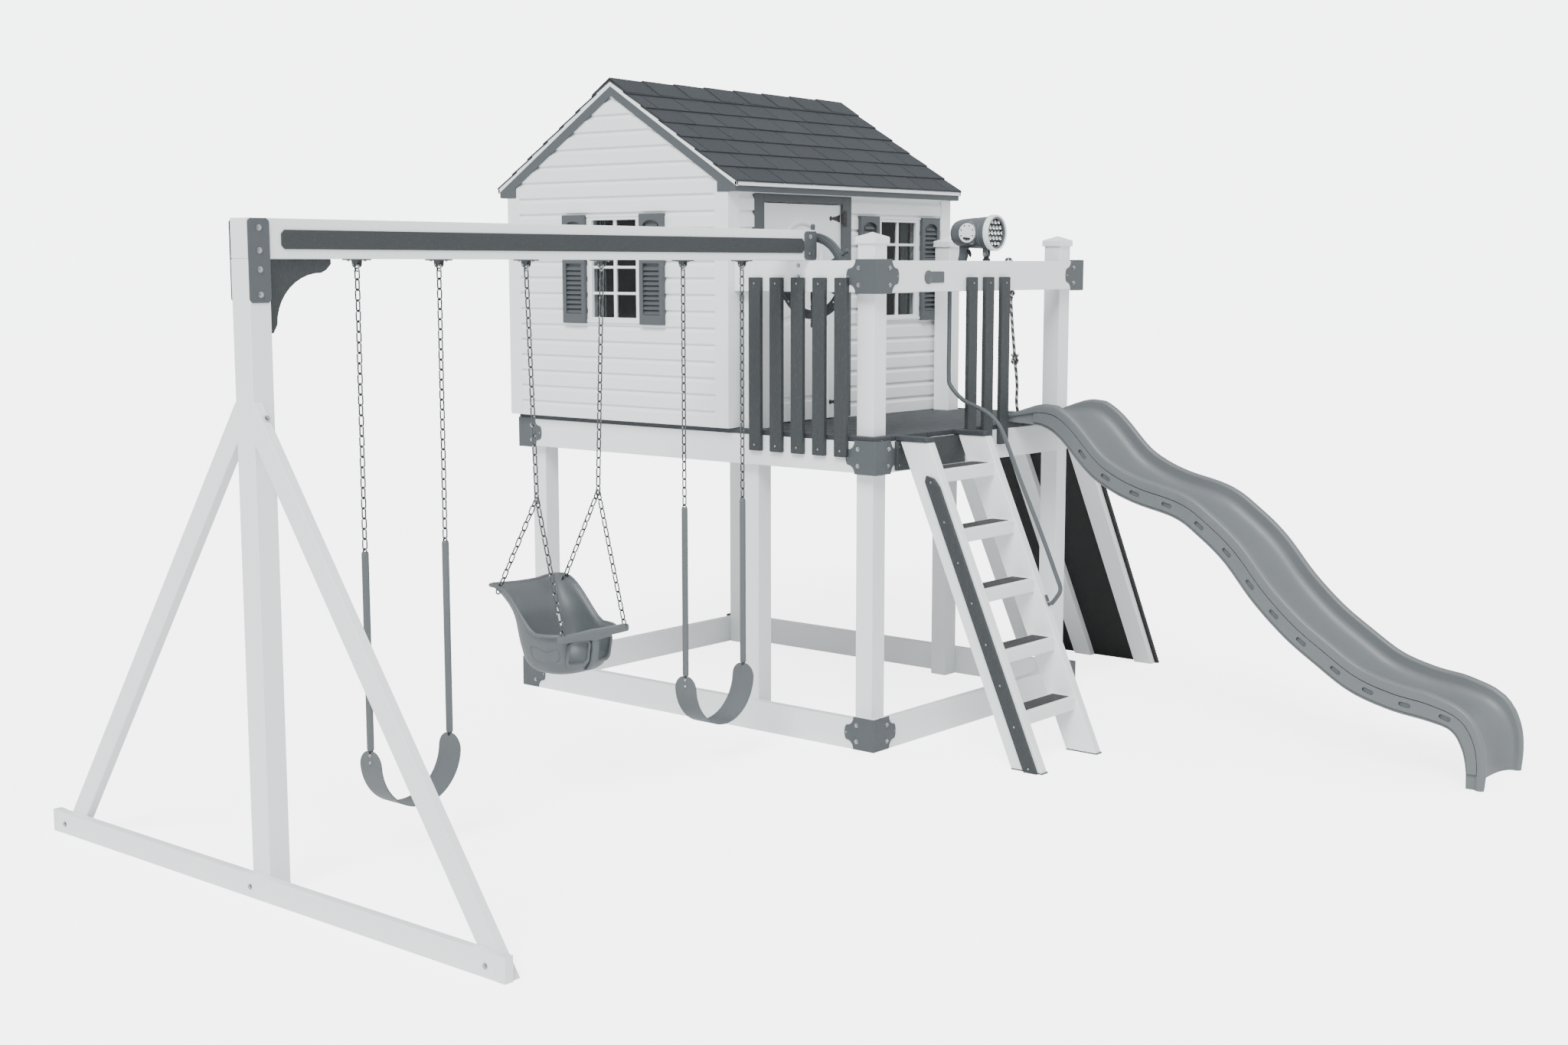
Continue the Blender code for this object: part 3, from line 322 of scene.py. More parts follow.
def addRod(form, start, end, radius, sides=16, endRadius=None):
    start, end = Vector(start), Vector(end)
    run = end - start
    turn = run.to_track_quat("Z", "Y").to_matrix().to_4x4()
    bmesh.ops.create_cone(form, cap_ends=True, segments=sides, radius1=radius,
                          radius2=radius if endRadius is None else endRadius, depth=run.length,
                          matrix=Matrix.Translation((start + end) / 2) @ turn)


lifts = {"X": lambda a, b, n: (n, a, b), "Y": lambda a, b, n: (a, n, b), "Z": lambda a, b, n: (a, b, n)}


def addPrism(form, outline, normal, start, end):
    lift = lifts[normal]
    near = [form.verts.new(lift(a, b, start)) for a, b in outline]
    far = [form.verts.new(lift(a, b, end)) for a, b in outline]
    faces = [form.faces.new(near), form.faces.new(far[::-1])]
    count = len(outline)
    for i in range(count):
        j = (i + 1) % count
        faces.append(form.faces.new((near[j], near[i], far[i], far[j])))
    bmesh.ops.recalc_face_normals(form, faces=faces)


def addTurned(form, profile, place, along, sides=32, phase=0.0):
    # profile is (radius, distance along), from one end to the other
    turn = Vector(along).to_track_quat("Z", "Y").to_matrix()
    place = Vector(place)
    rings = []
    for radius, reach in profile:
        if radius < 1e-6:
            rings.append([form.verts.new(place + turn @ Vector((0, 0, reach)))])
            continue
        angles = [phase + 2 * math.pi * i / sides for i in range(sides)]
        rings.append([form.verts.new(place + turn @ Vector((radius * math.cos(a), radius * math.sin(a), reach)))
                      for a in angles])
    faces = []
    for a, b in zip(rings, rings[1:]):
        for i in range(sides):
            j = (i + 1) % sides
            corners = [a[i % len(a)], a[j % len(a)], b[j % len(b)], b[i % len(b)]]
            faces.append(form.faces.new(list(dict.fromkeys(corners))))
    for ring, flip in ((rings[0], -1), (rings[-1], 1)):
        if len(ring) > 1:
            faces.append(form.faces.new(ring[::flip]))
    bmesh.ops.recalc_face_normals(form, faces=faces)


def smoothPath(points, steps):
    points = [Vector(p) for p in points]
    ends = [2 * points[0] - points[1]] + points + [2 * points[-1] - points[-2]]
    path = []
    for a, b, c, d in zip(ends, ends[1:], ends[2:], ends[3:]):
        for step in range(steps):
            t = step / steps
            path.append(0.5 * (2 * b + (c - a) * t + (2 * a - 5 * b + 4 * c - d) * t * t
                               + (3 * b - a - 3 * c + d) * t ** 3))
    return path + [points[-1]]


def addTube(form, points, radius, sides=12, closed=False, uvLayer=None, turnsPerMetre=0.0):
    points = [Vector(p) for p in points]
    count = len(points)
    along = []
    for i in range(count):
        before = points[i - 1] if closed or i else points[0]
        after = points[(i + 1) % count] if closed or i < count - 1 else points[-1]
        along.append((after - before).normalized())
    side = along[0].orthogonal().normalized()
    rings = []
    for place, ahead in zip(points, along):
        side = (side - ahead * side.dot(ahead)).normalized()
        across = ahead.cross(side)
        rings.append([form.verts.new(place + (side * math.cos(a) + across * math.sin(a)) * radius)
                      for a in (2 * math.pi * i / sides for i in range(sides))])
    pairs = list(zip(rings, rings[1:]))
    if closed:
        pairs.append((rings[-1], rings[0]))
    faces = []
    reach = 0.0
    for index, (a, b) in enumerate(pairs):
        step = (points[(index + 1) % count] - points[index]).length
        for i in range(sides):
            j = (i + 1) % sides
            face = form.faces.new((a[i], a[j], b[j], b[i]))
            faces.append(face)
            if uvLayer is not None:
                spots = ((reach, i), (reach, i + 1), (reach + step, i + 1), (reach + step, i))
                for loop, (run, turn) in zip(face.loops, spots):
                    loop[uvLayer].uv = (run * turnsPerMetre, turn / sides)
        reach += step
    if not closed:
        faces += [form.faces.new(rings[0][::-1]), form.faces.new(rings[-1])]
    bmesh.ops.recalc_face_normals(form, faces=faces)


def cutAway(form, place, normal):
    geometry = form.verts[:] + form.edges[:] + form.faces[:]
    cut = bmesh.ops.bisect_plane(form, geom=geometry, plane_co=place, plane_no=normal, clear_outer=True)
    edges = [item for item in cut["geom_cut"] if isinstance(item, bmesh.types.BMEdge)]
    if edges:
        bmesh.ops.edgeloop_fill(form, edges=edges)


def workObject(form):
    mesh = bpy.data.meshes.new("work")
    form.to_mesh(mesh)
    form.free()
    item = bpy.data.objects.new("work", mesh)
    bpy.context.scene.collection.objects.link(item)
    return item


def thickened(form, thickness, offset):
    item = workObject(form)
    wall = item.modifiers.new("wall", "SOLIDIFY")
    wall.thickness = thickness
    wall.offset = offset
    solid = bpy.data.meshes.new_from_object(item.evaluated_get(bpy.context.evaluated_depsgraph_get()))
    bpy.data.objects.remove(item, do_unlink=True)
    form = bmesh.new()
    form.from_mesh(solid)
    return form


def carved(form, tool, operation="DIFFERENCE"):
    base, cutter = workObject(form), workObject(tool)
    cut = base.modifiers.new("cut", "BOOLEAN")
    cut.operation = operation
    cut.object = cutter
    solid = bpy.data.meshes.new_from_object(base.evaluated_get(bpy.context.evaluated_depsgraph_get()))
    result = bmesh.new()
    result.from_mesh(solid)
    for item in (base, cutter):
        bpy.data.objects.remove(item, do_unlink=True)
    return result


def makePiece(name, form, finish, body="playset", replacing=(), roundBy=0.0, segments=2, smooth=35):
    mesh = bpy.data.meshes.new(name)
    bmesh.ops.translate(form, verts=form.verts, vec=home)
    form.to_mesh(mesh)
    form.free()
    return mountPiece(name, mesh, finish, body, replacing, roundBy, segments, smooth)


def mountPiece(name, mesh, finish, body="playset", replacing=(), roundBy=0.0, segments=2, smooth=35):
    mat, slotName = finishes[finish]
    mesh.materials.clear()
    mesh.materials.append(mat)
    if smooth:
        mesh.shade_smooth()
        mesh.set_sharp_from_angle(angle=math.radians(smooth))
    piece = bpy.data.objects.new(name, mesh)
    bpy.context.scene.collection.objects.link(piece)
    if roundBy:
        bevel = piece.modifiers.new("rounded", "BEVEL")
        bevel.width = roundBy
        bevel.segments = segments
        bevel.limit_method = "ANGLE"
    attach(piece, body)
    if replacing:
        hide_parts(*replacing)
    return piece


def softenNode(node, finish, width=0.003, segments=2, body="playset"):
    # a merged copy of a part's own solid with rounded edges
    form = bmesh.new()
    form.from_mesh(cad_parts[node].data)
    bmesh.ops.remove_doubles(form, verts=form.verts, dist=0.00002)
    bmesh.ops.dissolve_limit(form, angle_limit=math.radians(1), verts=form.verts, edges=form.edges)
    mesh = bpy.data.meshes.new(f"{node}_skin")
    form.to_mesh(mesh)
    form.free()
    return mountPiece(f"{node}_skin", mesh, finish, body, (node,), width, segments)


# geometry node helpers
def growthTree(name, inputs):
    tree = bpy.data.node_groups.new(name, "GeometryNodeTree")
    tree.interface.new_socket("Geometry", in_out="INPUT", socket_type="NodeSocketGeometry")
    tree.interface.new_socket("Geometry", in_out="OUTPUT", socket_type="NodeSocketGeometry")
    for label, kind, value in inputs:
        socket = tree.interface.new_socket(label, in_out="INPUT", socket_type=kind)
        if value is not None:
            socket.default_value = value
    tree.interface.new_socket("Material", in_out="INPUT", socket_type="NodeSocketMaterial")
    return tree, tree.nodes.new("NodeGroupInput"), tree.nodes.new("NodeGroupOutput")


def joinNode(tree, kind, **given):
    # a node whose sockets are filled by label or, for _0, _1, by number
    node = tree.nodes.new(kind)
    if "mode" in given:
        node.mode = given.pop("mode")
    for label, value in given.items():
        socket = node.inputs[int(label[1:])] if label[0] == "_" else node.inputs[label.replace("_", " ")]
        if isinstance(value, bpy.types.NodeSocket):
            tree.links.new(value, socket)
        else:
            socket.default_value = value
    return node


def reckonNode(tree, operation, a, b):
    node = joinNode(tree, "ShaderNodeMath", _0=a, _1=b)
    node.operation = operation
    return node.outputs[0]


def finishTree(tree, entry, leave, instances):
    real = joinNode(tree, "GeometryNodeRealizeInstances", Geometry=instances)
    painted = joinNode(tree, "GeometryNodeSetMaterial", Geometry=real.outputs[0],
                       Material=entry.outputs["Material"])
    tree.links.new(painted.outputs[0], leave.inputs[0])


def growMesh(tree, seedMesh, finish, values):
    item = bpy.data.objects.new("growing", seedMesh)
    bpy.context.scene.collection.objects.link(item)
    modifier = item.modifiers.new("growth", "NODES")
    modifier.node_group = tree
    sockets = {socket.name: socket.identifier for socket in tree.interface.items_tree
               if socket.item_type == "SOCKET" and socket.in_out == "INPUT"}
    for label, value in values.items():
        modifier[sockets[label]] = value
    modifier[sockets["Material"]] = finishes[finish][0]
    solid = bpy.data.meshes.new_from_object(item.evaluated_get(bpy.context.evaluated_depsgraph_get()))
    bpy.data.objects.remove(item, do_unlink=True)
    return solid


def makeFastenerTree():
    tree, entry, leave = growthTree("fasteners", [
        ("Washer Radius", "NodeSocketFloat", 0.011), ("Washer Height", "NodeSocketFloat", 0.0015),
        ("Head Radius", "NodeSocketFloat", 0.007), ("Head Height", "NodeSocketFloat", 0.005),
        ("Head Sides", "NodeSocketInt", 6)])
    take = entry.outputs
    parts = []
    for radius, height, sides in (("Washer Radius", "Washer Height", 14),
                                  ("Head Radius", "Head Height", take["Head Sides"])):
        disc = joinNode(tree, "GeometryNodeMeshCylinder", Vertices=sides, Radius=take[radius],
                        Depth=take[height])
        half = joinNode(tree, "ShaderNodeMath", _0=take[height], _1=0.5)
        half.operation = "MULTIPLY"
        lift = joinNode(tree, "ShaderNodeCombineXYZ", Z=half.outputs[0])
        parts.append(joinNode(tree, "GeometryNodeTransform", Geometry=disc.outputs["Mesh"],
                              Translation=lift.outputs[0]))
    whole = tree.nodes.new("GeometryNodeJoinGeometry")
    for part in parts:
        tree.links.new(part.outputs[0], whole.inputs[0])
    aim = tree.nodes.new("GeometryNodeInputNamedAttribute")
    aim.data_type = "FLOAT_VECTOR"
    aim.inputs["Name"].default_value = "aim"
    turn = joinNode(tree, "FunctionNodeAlignRotationToVector", Vector=aim.outputs["Attribute"])
    turn.axis = "Z"
    heads = joinNode(tree, "GeometryNodeInstanceOnPoints", Points=take["Geometry"],
                     Instance=whole.outputs[0], Rotation=turn.outputs[0])
    finishTree(tree, entry, leave, heads.outputs[0])
    return tree


fastenerTree = makeFastenerTree()
fastenerKinds = {
    "bolt": {"Washer Radius": 0.0115, "Washer Height": 0.0018, "Head Radius": 0.0075,
             "Head Height": 0.0068, "Head Sides": 6},
    "screw": {"Washer Radius": 0.0048, "Washer Height": 0.0010, "Head Radius": 0.0034,
              "Head Height": 0.0022, "Head Sides": 8},
    "stud": {"Washer Radius": 0.0070, "Washer Height": 0.0012, "Head Radius": 0.0048,
             "Head Height": 0.0040, "Head Sides": 10},
}
fastenerPlaces = {}


def fasten(kind, place, aim, body="playset", finish="brightBolt"):
    fastenerPlaces.setdefault((kind, body, finish), []).append((Vector(place), Vector(aim)))


def makeFasteners():
    for index, ((kind, body, finish), places) in enumerate(fastenerPlaces.items()):
        mesh = bpy.data.meshes.new("places")
        mesh.from_pydata([place + home for place, aim in places], [], [])
        aims = mesh.attributes.new("aim", "FLOAT_VECTOR", "POINT")
        for item, (place, aim) in zip(aims.data, places):
            item.vector = aim
        solid = growMesh(fastenerTree, mesh, finish, fastenerKinds[kind])
        mountPiece(f"{kind}s_{body}_{index + 1}", solid, finish, body)
    print("fasteners made")

# the free length is (shift from the tower's side, drop below the rail), the laid one
# (share of the deck's height, proud of the panel, sway)
ropeLook = {"radius": 0.009, "y": 0.450, "lean": 0.600, "sides": 12, "twistsPerMetre": 22.0, "knotSize": 0.0105,
            "free": [(-0.025, 0.158), (-0.016, 0.244), (0.004, 0.394), (0.030, 0.544), (0.056, 0.694)],
            "laid": [(1.0269, 0.009, 0.0), (0.9186, 0.0, -0.004), (0.7874, 0.0, -0.010), (0.6562, 0.0, -0.006),
                     (0.5249, 0.0, 0.0), (0.3937, 0.0, 0.006), (0.2756, 0.0, 0.004)]}
panelLow, panelHigh = layoutBox("rock_wall_panel")


def knotPoints(centre, size, turn):
    # a tight overhand knot drawn as a trefoil
    spin = Matrix.Rotation(turn, 3, "Z")
    loop = []
    for i in range(36):
        t = 2 * math.pi * i / 36
        spot = Vector((math.sin(t) + 2 * math.sin(2 * t), -math.sin(3 * t) * 1.2,
                       math.cos(t) - 2 * math.cos(2 * t)))
        loop.append(Vector(centre) + spin @ spot * size)
    return loop


def ropePiece(name, build):
    form = bmesh.new()
    strand = form.loops.layers.uv.new("strand")
    build(form, strand)
    return makePiece(name, form, "ropeFibre", smooth=60)


def makeRope():
    look = ropeLook
    y, lean, radius = look["y"], look["lean"], look["radius"]
    face = panelHigh.x + radius * math.hypot(1, lean) + 0.001
    route = [(towerWidth + shift, y, railHigh.z - drop) for shift, drop in look["free"]]
    for share, proud, sway in look["laid"]:
        z = deckHeight * share
        route.append((face - z * lean + proud, y + sway, z))
    path = smoothPath(route, 5)
    cord = ropePiece("climbing_rope_cord", lambda form, uv: addTube(
        form, path, radius, look["sides"], uvLayer=uv, turnsPerMetre=look["twistsPerMetre"]))
    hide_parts("climbing_rope")
    spots = ((path[0] - zAxis * 0.021, 0.3, 1.0), (path[15] - zAxis * 0.002, 1.1, 0.9),
             (path[-17] + xAxis * 0.004, 0.6, 0.9), (path[-1] + xAxis * 0.010, 0.9, 1.1))
    for index, (place, turn, scale) in enumerate(spots):
        loop = knotPoints(place, look["knotSize"] * scale, turn)
        ropePiece(f"rope_knot_{index + 1}", lambda form, uv: addTube(
            form, loop, radius * 0.85, 8, closed=True, uvLayer=uv, turnsPerMetre=40.0))
    over = railHigh.z + radius + 0.001
    inner, outer = towerWidth - 0.05 - radius - 0.001, towerWidth + radius + 0.001
    start = path[0]
    hitch = [start - zAxis * 0.008, (inner, y + 0.004, over - 0.142), (inner, y + 0.010, over - 0.03),
             (inner + 0.014, y + 0.014, over), (outer - 0.014, y + 0.018, over),
             (outer, y + 0.014, over - 0.03), (outer, y + 0.006, over - 0.142), start + Vector((0.005, 0, -0.010))]
    loop = smoothPath(hitch, 5)
    ropePiece("rope_hitch", lambda form, uv: addTube(
        form, loop, radius, 10, uvLayer=uv, turnsPerMetre=look["twistsPerMetre"]))


makeRope()

towerLook = {"sleeveRound": 0.0025, "capProud": 0.0095, "capSkirt": 0.026, "plankWidth": 0.1395,
             "plankGap": 0.0045, "screwInset": 0.030}


def makeTower():
    look = towerLook
    for node in ("ground_frame", "deck_rim", "top_rail"):
        softenNode(node, "whiteVinyl", look["sleeveRound"])
    for corner in ("front_left", "front_right", "mid_left", "mid_right"):
        low, high = layoutBox(f"post_{corner}")
        middle = (low + high) / 2
        half = (high.x - low.x) / 2 - 0.010
        shoulder = high.z - 0.030
        shaft = bmesh.new()
        addBox(shaft, (middle.x - half, middle.y - half, 0), (middle.x + half, middle.y + half, shoulder))
        makePiece(f"post_{corner}_sleeve", shaft, "whiteVinyl", replacing=(f"post_{corner}",),
                  roundBy=0.0028)
        skirt = half + look["capProud"]
        rings = [(half + 0.001, shoulder - look["capSkirt"]), (skirt, shoulder - look["capSkirt"]),
                 (skirt, shoulder + 0.004), (skirt - 0.003, shoulder + 0.007), (0, high.z)]
        cap = bmesh.new()
        profile = [(reach * math.sqrt(2), z) for reach, z in rings]
        addTurned(cap, profile, (middle.x, middle.y, 0), zAxis, 4, math.pi / 4)
        makePiece(f"post_{corner}_cap", cap, "whiteVinyl", roundBy=0.0015, smooth=0)
    for corner in ("rear_left", "rear_right"):
        softenNode(f"post_{corner}", "whiteVinyl", 0.0028)


def makeBrackets():
    # steel corner plates, one arm along each board, with a scalloped tip
    half, thick = 0.0825, 0.0035
    scoop = [(0.163 - 0.036 * math.cos(a), -half + 0.044 * math.sin(a))
             for a in (math.pi / 2 * i / 6 for i in range(7))]
    lobe = [(0.171, -0.0365), (0.1765, -0.030), (0.1805, -0.018), (0.182, 0.0)]
    edge = scoop + lobe
    outline = [(0.0, -half), *edge, *[(a, -b) for a, b in edge[-2::-1]], (0.0, half)]
    levels = {"rail": (railLow.z + railHigh.z) / 2, "deck": (rimLow.z + rimHigh.z) / 2,
              "ground": layoutBox("ground_frame")[1].z / 2 + 0.0068}
    corners = {"front_left": (0, 0, 1, 1), "front_right": (towerWidth, 0, -1, 1),
               "rear_left": (0, towerDepth, 1, -1), "rear_right": (towerWidth, towerDepth, -1, -1)}
    for level, z in levels.items():
        for corner, (x, y, intoX, intoY) in corners.items():
            if level == "rail" and corner.startswith("rear"):
                continue
            form = bmesh.new()
            faceY, faceX = y - intoY * 0.0006, x - intoX * 0.0006
            backY, backX = faceY - intoY * thick, faceX - intoX * thick
            along = [(x + intoX * (a - thick), z + b) for a, b in outline]
            addPrism(form, along, "Y", min(faceY, backY), max(faceY, backY))
            side = [(y + intoY * (a - thick), z + b) for a, b in outline]
            addPrism(form, side, "X", min(faceX, backX), max(faceX, backX))
            makePiece(f"bracket_{level}_{corner}", form, "slatePaint", roundBy=0.0012)
            for lift in (-0.041, 0.041):
                fasten("bolt", (x + intoX * 0.102, backY, z + lift), (0, -intoY, 0))
                fasten("bolt", (backX, y + intoY * 0.102, z + lift), (-intoX, 0, 0))
            fasten("screw", (x + intoX * 0.166, backY, z), (0, -intoY, 0))
            fasten("screw", (backX, y + intoY * 0.166, z), (-intoX, 0, 0))
            for edge in ((1,) if level == "ground" else (-1, 1)):
                fasten("screw", (x + intoX * 0.05, faceY - intoY * 0.001, z + edge * (half + 0.001)), (0, 0, edge))


def makeBalusters():
    inset = towerLook["screwInset"]
    names = [f"left_baluster_{n}" for n in range(1, 6)] + [f"front_baluster_{n}" for n in range(1, 4)]
    for name in names:
        softenNode(name, "uprightBoard", 0.005, 3)
        low, high = layoutBox(name)
        middle = (low + high) / 2
        left = name.startswith("left")
        aim = (-1, 0, 0) if left else (0, -1, 0)
        spot = Vector((low.x, middle.y, 0)) if left else Vector((middle.x, low.y, 0))
        for z in (low.z + inset, high.z - inset):
            fasten("screw", spot + zAxis * z, aim)


def makeDeck():
    look = towerLook
    form = bmesh.new()
    step = look["plankWidth"] + look["plankGap"]
    count = round(towerWidth / step)
    width = towerWidth / count
    for index in range(count):
        start = index * width + look["plankGap"] / 2
        end = (index + 1) * width - look["plankGap"] / 2
        addBox(form, (start, 0.0, deckLow.z), (end, towerDepth, deckHigh.z))
    makePiece("deck_planks", form, "deckPlank", replacing=("deck",), roundBy=0.003)
    pads = bmesh.new()
    for side in ("left", "right"):
        low, high = layoutBox(f"ladder_stringer_{side}")
        outline = [(low.x - 0.008, 0.01), (low.x - 0.008, deckLow.y + 0.012), (low.x + 0.004, deckLow.y),
                   (high.x - 0.004, deckLow.y), (high.x + 0.008, deckLow.y + 0.012), (high.x + 0.008, 0.01)]
        addPrism(pads, outline, "Z", deckLow.z + 0.0005, deckHigh.z - 0.001)
    makePiece("ladder_nosing_pads", pads, "deckPlank", roundBy=0.004, segments=3)
    plate = bmesh.new()
    outline = [(0.415, 2.285), (0.55, 2.285), (0.556, 2.291), (0.556, 2.335), (0.55, 2.341), (0.415, 2.341)]
    addPrism(plate, outline, "Y", -0.0045, -0.0003)
    addTurned(plate, [(0, -0.006), (0.030, -0.006), (0.034, -0.004), (0.034, 0.0), (0, 0.0)],
              (0.424, -0.0008, 2.313), yAxis, 28)
    makePiece("maker_plate_blank", plate, "steelTube", roundBy=0.001)


makeTower()
makeBrackets()
makeBalusters()
makeDeck()
print("tower made")

houseLook = {"course": 0.0845, "proud": 0.0125, "tuck": 0.0008, "shoulder": 0.66, "slot": 0.0080,
             "cornerWidth": 0.076, "cornerProud": 0.0155, "soffit": 2.738}
doorLook = {"left": 0.240, "right": 0.890, "bottom": 1.556, "top": 2.694, "frameLeft": 0.162,
            "frameRight": 0.967, "frameTop": 2.738, "porthole": (0.5645, 2.428), "radius": 0.180}
windowLook = {"half": 0.1955, "low": 2.072, "high": 2.632, "bar": 0.0325, "muntin": 0.0145,
              "cross": (2.485, 2.361, 2.224), "gable": 1.700, "porch": 1.400}
roofMiddle = (roofLow.y + roofHigh.y) / 2
eaveReach = (roofHigh.y - roofLow.y) / 2
roofSlope = 0.619


def roofLine(y, drop):
    return roofHigh.z - drop - roofSlope * abs(y - roofMiddle)


def lapOutline(plane, out, floor, top):
    # one closed saw-tooth from the lowest course to the highest
    look = houseLook
    back, face, tall = plane - out * 0.0015, plane + out * look["proud"], look["course"]
    outline = [(back, floor)]
    z = floor
    while z < top - 0.005:
        end = min(z + tall, top)
        slot = max(z + 0.003, end - look["slot"])
        knee = min(z + tall * look["shoulder"], slot - 0.001)
        outline += [(face - out * 0.001, z), (face, z + 0.0015), (face, knee),
                    (plane + out * look["tuck"], slot), (plane + out * 0.0004, slot + 0.0003),
                    (plane + out * 0.0004, end - 0.0002)]
        z += tall
    return outline + [(back, top)]


def makeSiding():
    look = houseLook
    floor = wallLow.z + 0.0005
    walls = {"porch": ("X", wallLow.y, -1, wallLow.x, wallHigh.x, look["soffit"] + 0.04),
             "rear": ("X", wallHigh.y, 1, wallLow.x, wallHigh.x, look["soffit"] + 0.04),
             "left": ("Y", wallLow.x, -1, wallLow.y, wallHigh.y, roofHigh.z - 0.05),
             "right": ("Y", wallHigh.x, 1, wallLow.y, wallHigh.y, roofHigh.z - 0.05)}
    half = windowLook["half"] - 0.004
    for name, (normal, plane, out, start, end, top) in walls.items():
        form = bmesh.new()
        addPrism(form, lapOutline(plane, out, floor, top), normal, start, end)
        if normal == "Y":
            for side in (-1, 1):
                cutAway(form, (0, roofMiddle, roofLine(roofMiddle, 0.048)), (0, side * roofSlope, 1))
        if name in ("porch", "left"):
            holes = bmesh.new()
            if name == "porch":
                middle = windowLook["porch"]
                addBox(holes, (middle - half, plane - 0.1, windowLook["low"] + 0.004),
                       (middle + half, plane + 0.1, windowLook["high"] - 0.004))
                addBox(holes, (doorLook["left"] - 0.002, plane - 0.1, 1.4),
                       (doorLook["right"] + 0.002, plane + 0.1, doorLook["top"] + 0.002))
            else:
                middle = windowLook["gable"]
                addBox(holes, (plane - 0.1, middle - half, windowLook["low"] + 0.004),
                       (plane + 0.1, middle + half, windowLook["high"] - 0.004))
            form = carved(form, holes)
        makePiece(f"siding_{name}", form, "sidingVinyl", smooth=12)
    corners = bmesh.new()
    wide, proud = look["cornerWidth"], look["cornerProud"]
    for x, intoX in ((wallLow.x, 1), (wallHigh.x, -1)):
        for y, intoY in ((wallLow.y, 1), (wallHigh.y, -1)):
            outline = [(x - intoX * proud, y - intoY * proud), (x + intoX * wide, y - intoY * proud),
                       (x + intoX * wide, y), (x, y), (x, y + intoY * wide),
                       (x - intoX * proud, y + intoY * wide)]
            addPrism(corners, outline, "Z", floor, look["soffit"] - 0.001)
    makePiece("corner_posts", corners, "whiteVinyl", roundBy=0.0025)
    frieze = bmesh.new()
    for y, out in ((wallLow.y, -1), (wallHigh.y, 1)):
        low, high = sorted((y, y + out * 0.047))
        addBox(frieze, (wallLow.x, low, look["soffit"] + 0.004), (wallHigh.x, high, look["soffit"] + 0.010))
    makePiece("soffit_boards", frieze, "whiteVinyl")
    # painted shade: a near-black box inside the walls, open towards the porch wall and at the gable window, stands in
    # for the unlit room
    shadeShell = bmesh.new()
    inset = 0.0515
    addBox(shadeShell, (wallLow.x + inset, wallLow.y + 0.052, deckTop + 0.002),
           (wallHigh.x - inset, wallHigh.y - inset, 2.735))
    hollow = bmesh.new()
    addBox(hollow, (wallLow.x + inset + 0.004, wallLow.y - 0.5, deckTop + 0.006),
           (wallHigh.x - inset - 0.004, wallHigh.y - inset - 0.004, 2.731))
    addBox(hollow, (wallLow.x - 0.5, windowLook["gable"] - 0.2, windowLook["low"]),
           (wallLow.x + 0.5, windowLook["gable"] + 0.2, windowLook["high"]))
    makePiece("room_painted_shade_lining", carved(shadeShell, hollow), "paintedShadeLining", smooth=0)


shingleLook = {"rows": 7, "tabs": 11, "tabWidth": 0.243, "thick": 0.0085, "tilt": 0.040, "stagger": 0.37,
               "bed": 0.0250, "caps": 8, "capLeg": 0.130, "capThick": 0.0075}


